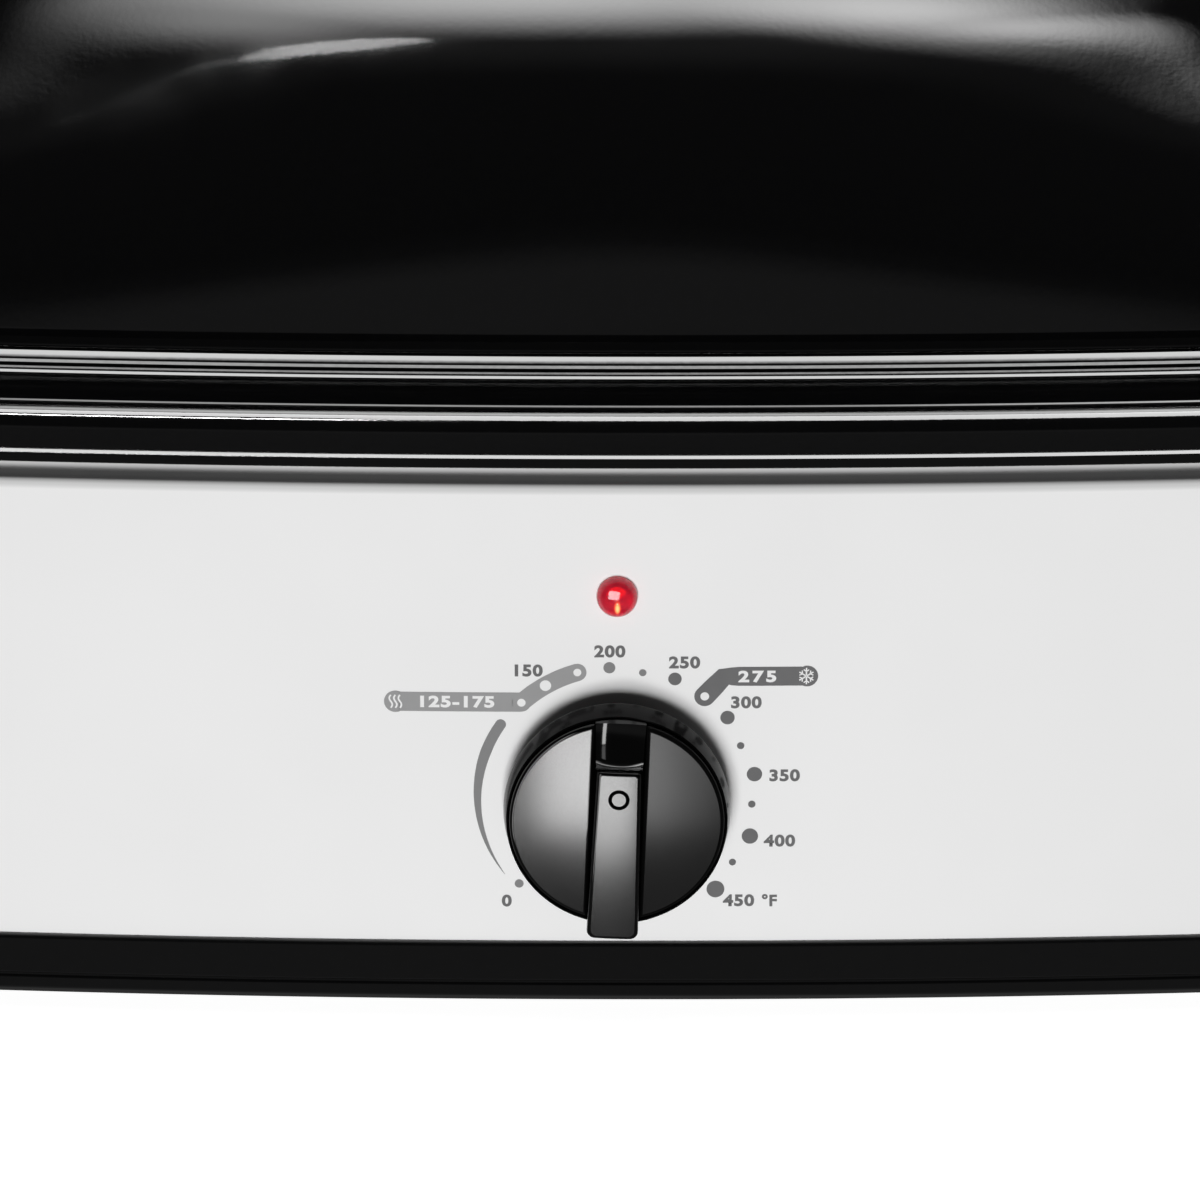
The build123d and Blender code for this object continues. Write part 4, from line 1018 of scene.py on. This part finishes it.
# ------------------------------------------------------------------ camera
scene = bpy.context.scene
e0, az = math.radians(19.6), math.radians(0.22)
target = Vector((-3.8, -B0, 99.0)) * MM
D = 2.2
cam = bpy.data.cameras.new("camera")
cam.lens = 297.3
cam.sensor_width = 36.0
cam.clip_start = 0.05
cam.clip_end = 100.0
co = bpy.data.objects.new("camera", cam)
scene.collection.objects.link(co)
co.location = target + D * Vector((math.sin(az) * math.cos(e0), -math.cos(az) * math.cos(e0), math.sin(e0)))
co.rotation_euler = (target - co.location).to_track_quat("-Z", "Y").to_euler()
scene.camera = co

# ------------------------------------------------------------------ stage
me = bpy.data.meshes.new("floor")
L = 60.0
me.from_pydata([(-L, -L, 0), (L, -L, 0), (L, L, 0), (-L, L, 0)], [], [(0, 1, 2, 3)])
floor = bpy.data.objects.new("floor", me)
scene.collection.objects.link(floor)
fm = simple("mat_floor", (0.82, 0.82, 0.82), (0.84, 0.84, 0.84), rough=(0.7, 0.8), scale=3.0, bump_mm=0)
fb = [q for q in fm.node_tree.nodes if q.type == "BSDF_PRINCIPLED"][0]
fb.inputs["Emission Color"].default_value = (1, 1, 1, 1)
fb.inputs["Emission Strength"].default_value = 0.96
me.materials.append(fm)
floor.visible_glossy = False
floor.visible_diffuse = False
floor.visible_shadow = False

world = bpy.data.worlds.new("world")
scene.world = world
world.use_nodes = True
nt = world.node_tree
nt.nodes.clear()
wo = nt.nodes.new("ShaderNodeOutputWorld")
bg = nt.nodes.new("ShaderNodeBackground")
tc = nt.nodes.new("ShaderNodeTexCoord")
sep = nt.nodes.new("ShaderNodeSeparateXYZ")
ramp = nt.nodes.new("ShaderNodeValToRGB")
mr = nt.nodes.new("ShaderNodeMapRange")
mr.inputs["From Min"].default_value = -1.0
mr.inputs["From Max"].default_value = 1.0
nt.links.new(tc.outputs["Generated"], sep.inputs[0])
nt.links.new(sep.outputs["Z"], mr.inputs["Value"])
nt.links.new(mr.outputs[0], ramp.inputs[0])
els = ramp.color_ramp.elements
els[0].position, els[0].color = 0.0, (0.22, 0.22, 0.22, 1)
els[1].position, els[1].color = 1.0, (0.035, 0.035, 0.035, 1)
for pos, val in ((0.24, 0.16), (0.33, 0.10), (0.38, 0.14), (0.43, 0.14), (0.475, 0.04), (0.52, 0.025), (0.9, 0.03)):
    e = els.new(pos)
    e.color = (val, val, val, 1)
nt.links.new(ramp.outputs[0], bg.inputs[0])
bg.inputs[1].default_value = 1.0
nt.links.new(bg.outputs[0], wo.inputs[0])


def area(name, loc, aim, sx, sy, power, glossy=True, color=(1, 1, 1)):
    li = bpy.data.lights.new(name, "AREA")
    li.shape = "RECTANGLE"
    li.size, li.size_y = sx, sy
    li.energy = power
    li.color = color
    ob = bpy.data.objects.new(name, li)
    scene.collection.objects.link(ob)
    ob.location = loc
    ob.rotation_euler = (Vector(aim) - Vector(loc)).to_track_quat("-Z", "Y").to_euler()
    ob.visible_camera = False
    ob.visible_glossy = glossy
    return ob


def softbox(name, z, x0, x1, y0, y1, blobs, strength):
    """Overhead diffuser: a flat sheet at height z that glows in soft-edged ovals (x, y, half long, half short, turn, level, soft)."""
    me = bpy.data.meshes.new(name)
    me.from_pydata([(x0, y0, z), (x0, y1, z), (x1, y1, z), (x1, y0, z)], [], [(0, 1, 2, 3)])
    ob = bpy.data.objects.new(name, me)
    scene.collection.objects.link(ob)
    m = bpy.data.materials.new("mat_" + name)
    m.use_nodes = True
    nt = m.node_tree
    nt.nodes.clear()
    out = nt.nodes.new("ShaderNodeOutputMaterial")
    em = nt.nodes.new("ShaderNodeEmission")
    clear = nt.nodes.new("ShaderNodeBsdfTransparent")
    both = nt.nodes.new("ShaderNodeAddShader")
    nt.links.new(em.outputs[0], both.inputs[0])
    nt.links.new(clear.outputs[0], both.inputs[1])
    nt.links.new(both.outputs[0], out.inputs[0])
    tc = nt.nodes.new("ShaderNodeTexCoord")
    total = None
    for bx, by, la, lb, turn, level, soft in blobs:
        mp = nt.nodes.new("ShaderNodeMapping")
        mp.vector_type = "TEXTURE"
        mp.inputs["Location"].default_value = (bx, by, z)
        mp.inputs["Rotation"].default_value = (0, 0, math.radians(turn))
        mp.inputs["Scale"].default_value = (la, lb, 1.0)
        nt.links.new(tc.outputs["Object"], mp.inputs[0])
        ln = nt.nodes.new("ShaderNodeVectorMath")
        ln.operation = "LENGTH"
        nt.links.new(mp.outputs[0], ln.inputs[0])
        mr = nt.nodes.new("ShaderNodeMapRange")
        mr.interpolation_type = "SMOOTHSTEP"
        mr.inputs["From Min"].default_value = 1.0
        mr.inputs["From Max"].default_value = 1.0 - soft
        mr.inputs["To Min"].default_value = 0.0
        mr.inputs["To Max"].default_value = level
        nt.links.new(ln.outputs["Value"], mr.inputs["Value"])
        if total is None:
            total = mr.outputs[0]
        else:
            ad = nt.nodes.new("ShaderNodeMath")
            ad.operation = "ADD"
            nt.links.new(total, ad.inputs[0])
            nt.links.new(mr.outputs[0], ad.inputs[1])
            total = ad.outputs[0]
    mu = nt.nodes.new("ShaderNodeMath")
    mu.operation = "ADD"
    mu.inputs[1].default_value = strength
    nt.links.new(total, mu.inputs[0])
    nt.links.new(mu.outputs[0], em.inputs["Strength"])
    me.materials.append(m)
    ob.visible_camera = False
    ob.visible_shadow = False
    return ob


def only_on(light, *starts):
    """The light reaches only the pieces whose names start so."""
    c = bpy.data.collections.new(light.name + "_targets")
    for o in bpy.data.objects:
        if o.name.startswith(starts):
            c.objects.link(o)
    light.light_linking.receiver_collection = c
    light.visible_diffuse = False


OVERHEAD = [
    (-0.102, 0.222, 0.811, 0.599, 4.8, 8.32, 1.0),
    (0.60, -0.06, 0.29, 0.165, 50.0, 4.4, 0.9),
    (-0.50, -0.16, 0.19, 0.35, 26.0, 1.9, 0.9),
    (0.381, 0.014, 0.32, 0.506, 21.1, 8.0, 0.97),
    (0.0, -0.38, 1.0, 0.5, 0.0, 0.12, 1.0),
]
over = softbox("overhead", 1.5, -1.2, 1.2, -0.9, 1.4, OVERHEAD, 0.0)
seen = bpy.data.collections.new("overhead_targets")
for o in bpy.data.objects:
    if o.type == "MESH" and not o.name.startswith(("lid_rim", "overhead")):
        seen.objects.link(o)
over.light_linking.receiver_collection = seen
for i, (x, y, lx, ly, turn, power) in enumerate(((-0.41, -0.365, 0.30, 0.12, 22.0, 4.3), (-0.575, -0.41, 0.09, 0.05, -10.0, 0.05))):
    strip = area("strip_%d" % i, (x, y, 1.49), (x, y, 0.0), lx, ly, power)
    strip.data.shape = "ELLIPSE"
    strip.rotation_euler = (0.0, 0.0, math.radians(turn))
    only_on(strip, "lid_dome")
rim = softbox("rim_glow", 1.49, -1.4, 1.4, -0.8, 0.3, [(0.0, -0.12, 4.0, 0.44, 0.0, 13.5, 0.6)], 0.0)
only_on(rim, "lid_rim")
for i, (x0, x1, y0, y1) in enumerate(((-1.3, -0.16, -0.62, -0.10), (-0.16, 1.3, -0.82, -0.10))):
    cx, cy, lx, ly = (x0 + x1) / 2, (y0 + y1) / 2, x1 - x0, y1 - y0
    glow = area("well_glow_%d" % i, (cx, cy, 1.48), (cx, cy, 0.0), lx, ly, 14.5 * math.pi * lx * ly)
    glow.rotation_euler = (0.0, 0.0, 0.0)
    only_on(glow, "well")
spark = area("rim_spark", (-0.30, -0.92, 1.49), (-0.30, -0.92, 0.0), 0.26, 0.06, 9.0)
spark.rotation_euler = (0.0, 0.0, 0.0)
only_on(spark, "well")
area("front", (-0.14, -2.38, -0.12), (0.0, -0.184, 0.06), 0.6, 0.74, 46.5, glossy=False)
for name, x, y in (("fill_back", 0.3, 2.4), ("fill_left", -2.4, 0.6), ("fill_right", 2.4, 0.6)):
    fill = area(name, (x, y, 0.5), (0.0, 0.05, 0.09), 1.2, 1.0, 34.0, glossy=False)
    fill.visible_transmission = False
tall = area("tall_left", (-0.85, -1.4, 0.1), (0.0, -0.2, 0.08), 0.34, 1.9, 26.0)
only_on(tall, "knob_bar", "knob_face_left")
streak = area("ramp_streak", (-0.85, -1.4, -0.245), (0.0, -0.2, 0.08), 0.20, 1.2, 7.5)
only_on(streak, "knob_ramp")
streak = area("ramp_streak_low", (-0.85, -1.4, 0.68), (0.0, -0.2, 0.08), 0.20, 0.62, 0.65)
only_on(streak, "knob_ramp")


def low(name, x, e_lo, e_hi, width, radiance, *starts):
    """Light low in front of the dial, between two angles above the horizon as seen from it."""
    mid, half, d = math.radians((e_lo + e_hi) / 2), math.radians((e_hi - e_lo) / 2), 0.797
    tall_ = 2 * d * math.tan(half)
    loc = (x, -0.2 - d * math.cos(mid), 0.052 + d * math.sin(mid))
    only_on(area(name, loc, (0.0, -0.2, 0.052), width, tall_, radiance * math.pi * width * tall_), *starts)


low("low_left", -0.075, -27.5, 2.0, 0.33, 17.0, "knob_face_left")
low("low_right", 0.065, -26.5, 2.0, 0.17, 3.2, "knob_face_right")
low("low_right_wide", 0.15, -26.5, 2.0, 0.30, 1.9, "knob_face_right")
low("low_bar", -0.064, -30.5, -8.0, 0.39, 14.6, "knob_bar")
key = area("lens_key", (-0.42, -1.50, 0.60), (0.0, -0.187, 0.1), 1.70, 1.25, 82.0, color=(0.97, 0.97, 1.0))
only_on(key, "lens")

scene.view_settings.view_transform = "Standard"
scene.view_settings.look = "None"
scene.view_settings.exposure = 0.0
scene.view_settings.gamma = 1.0
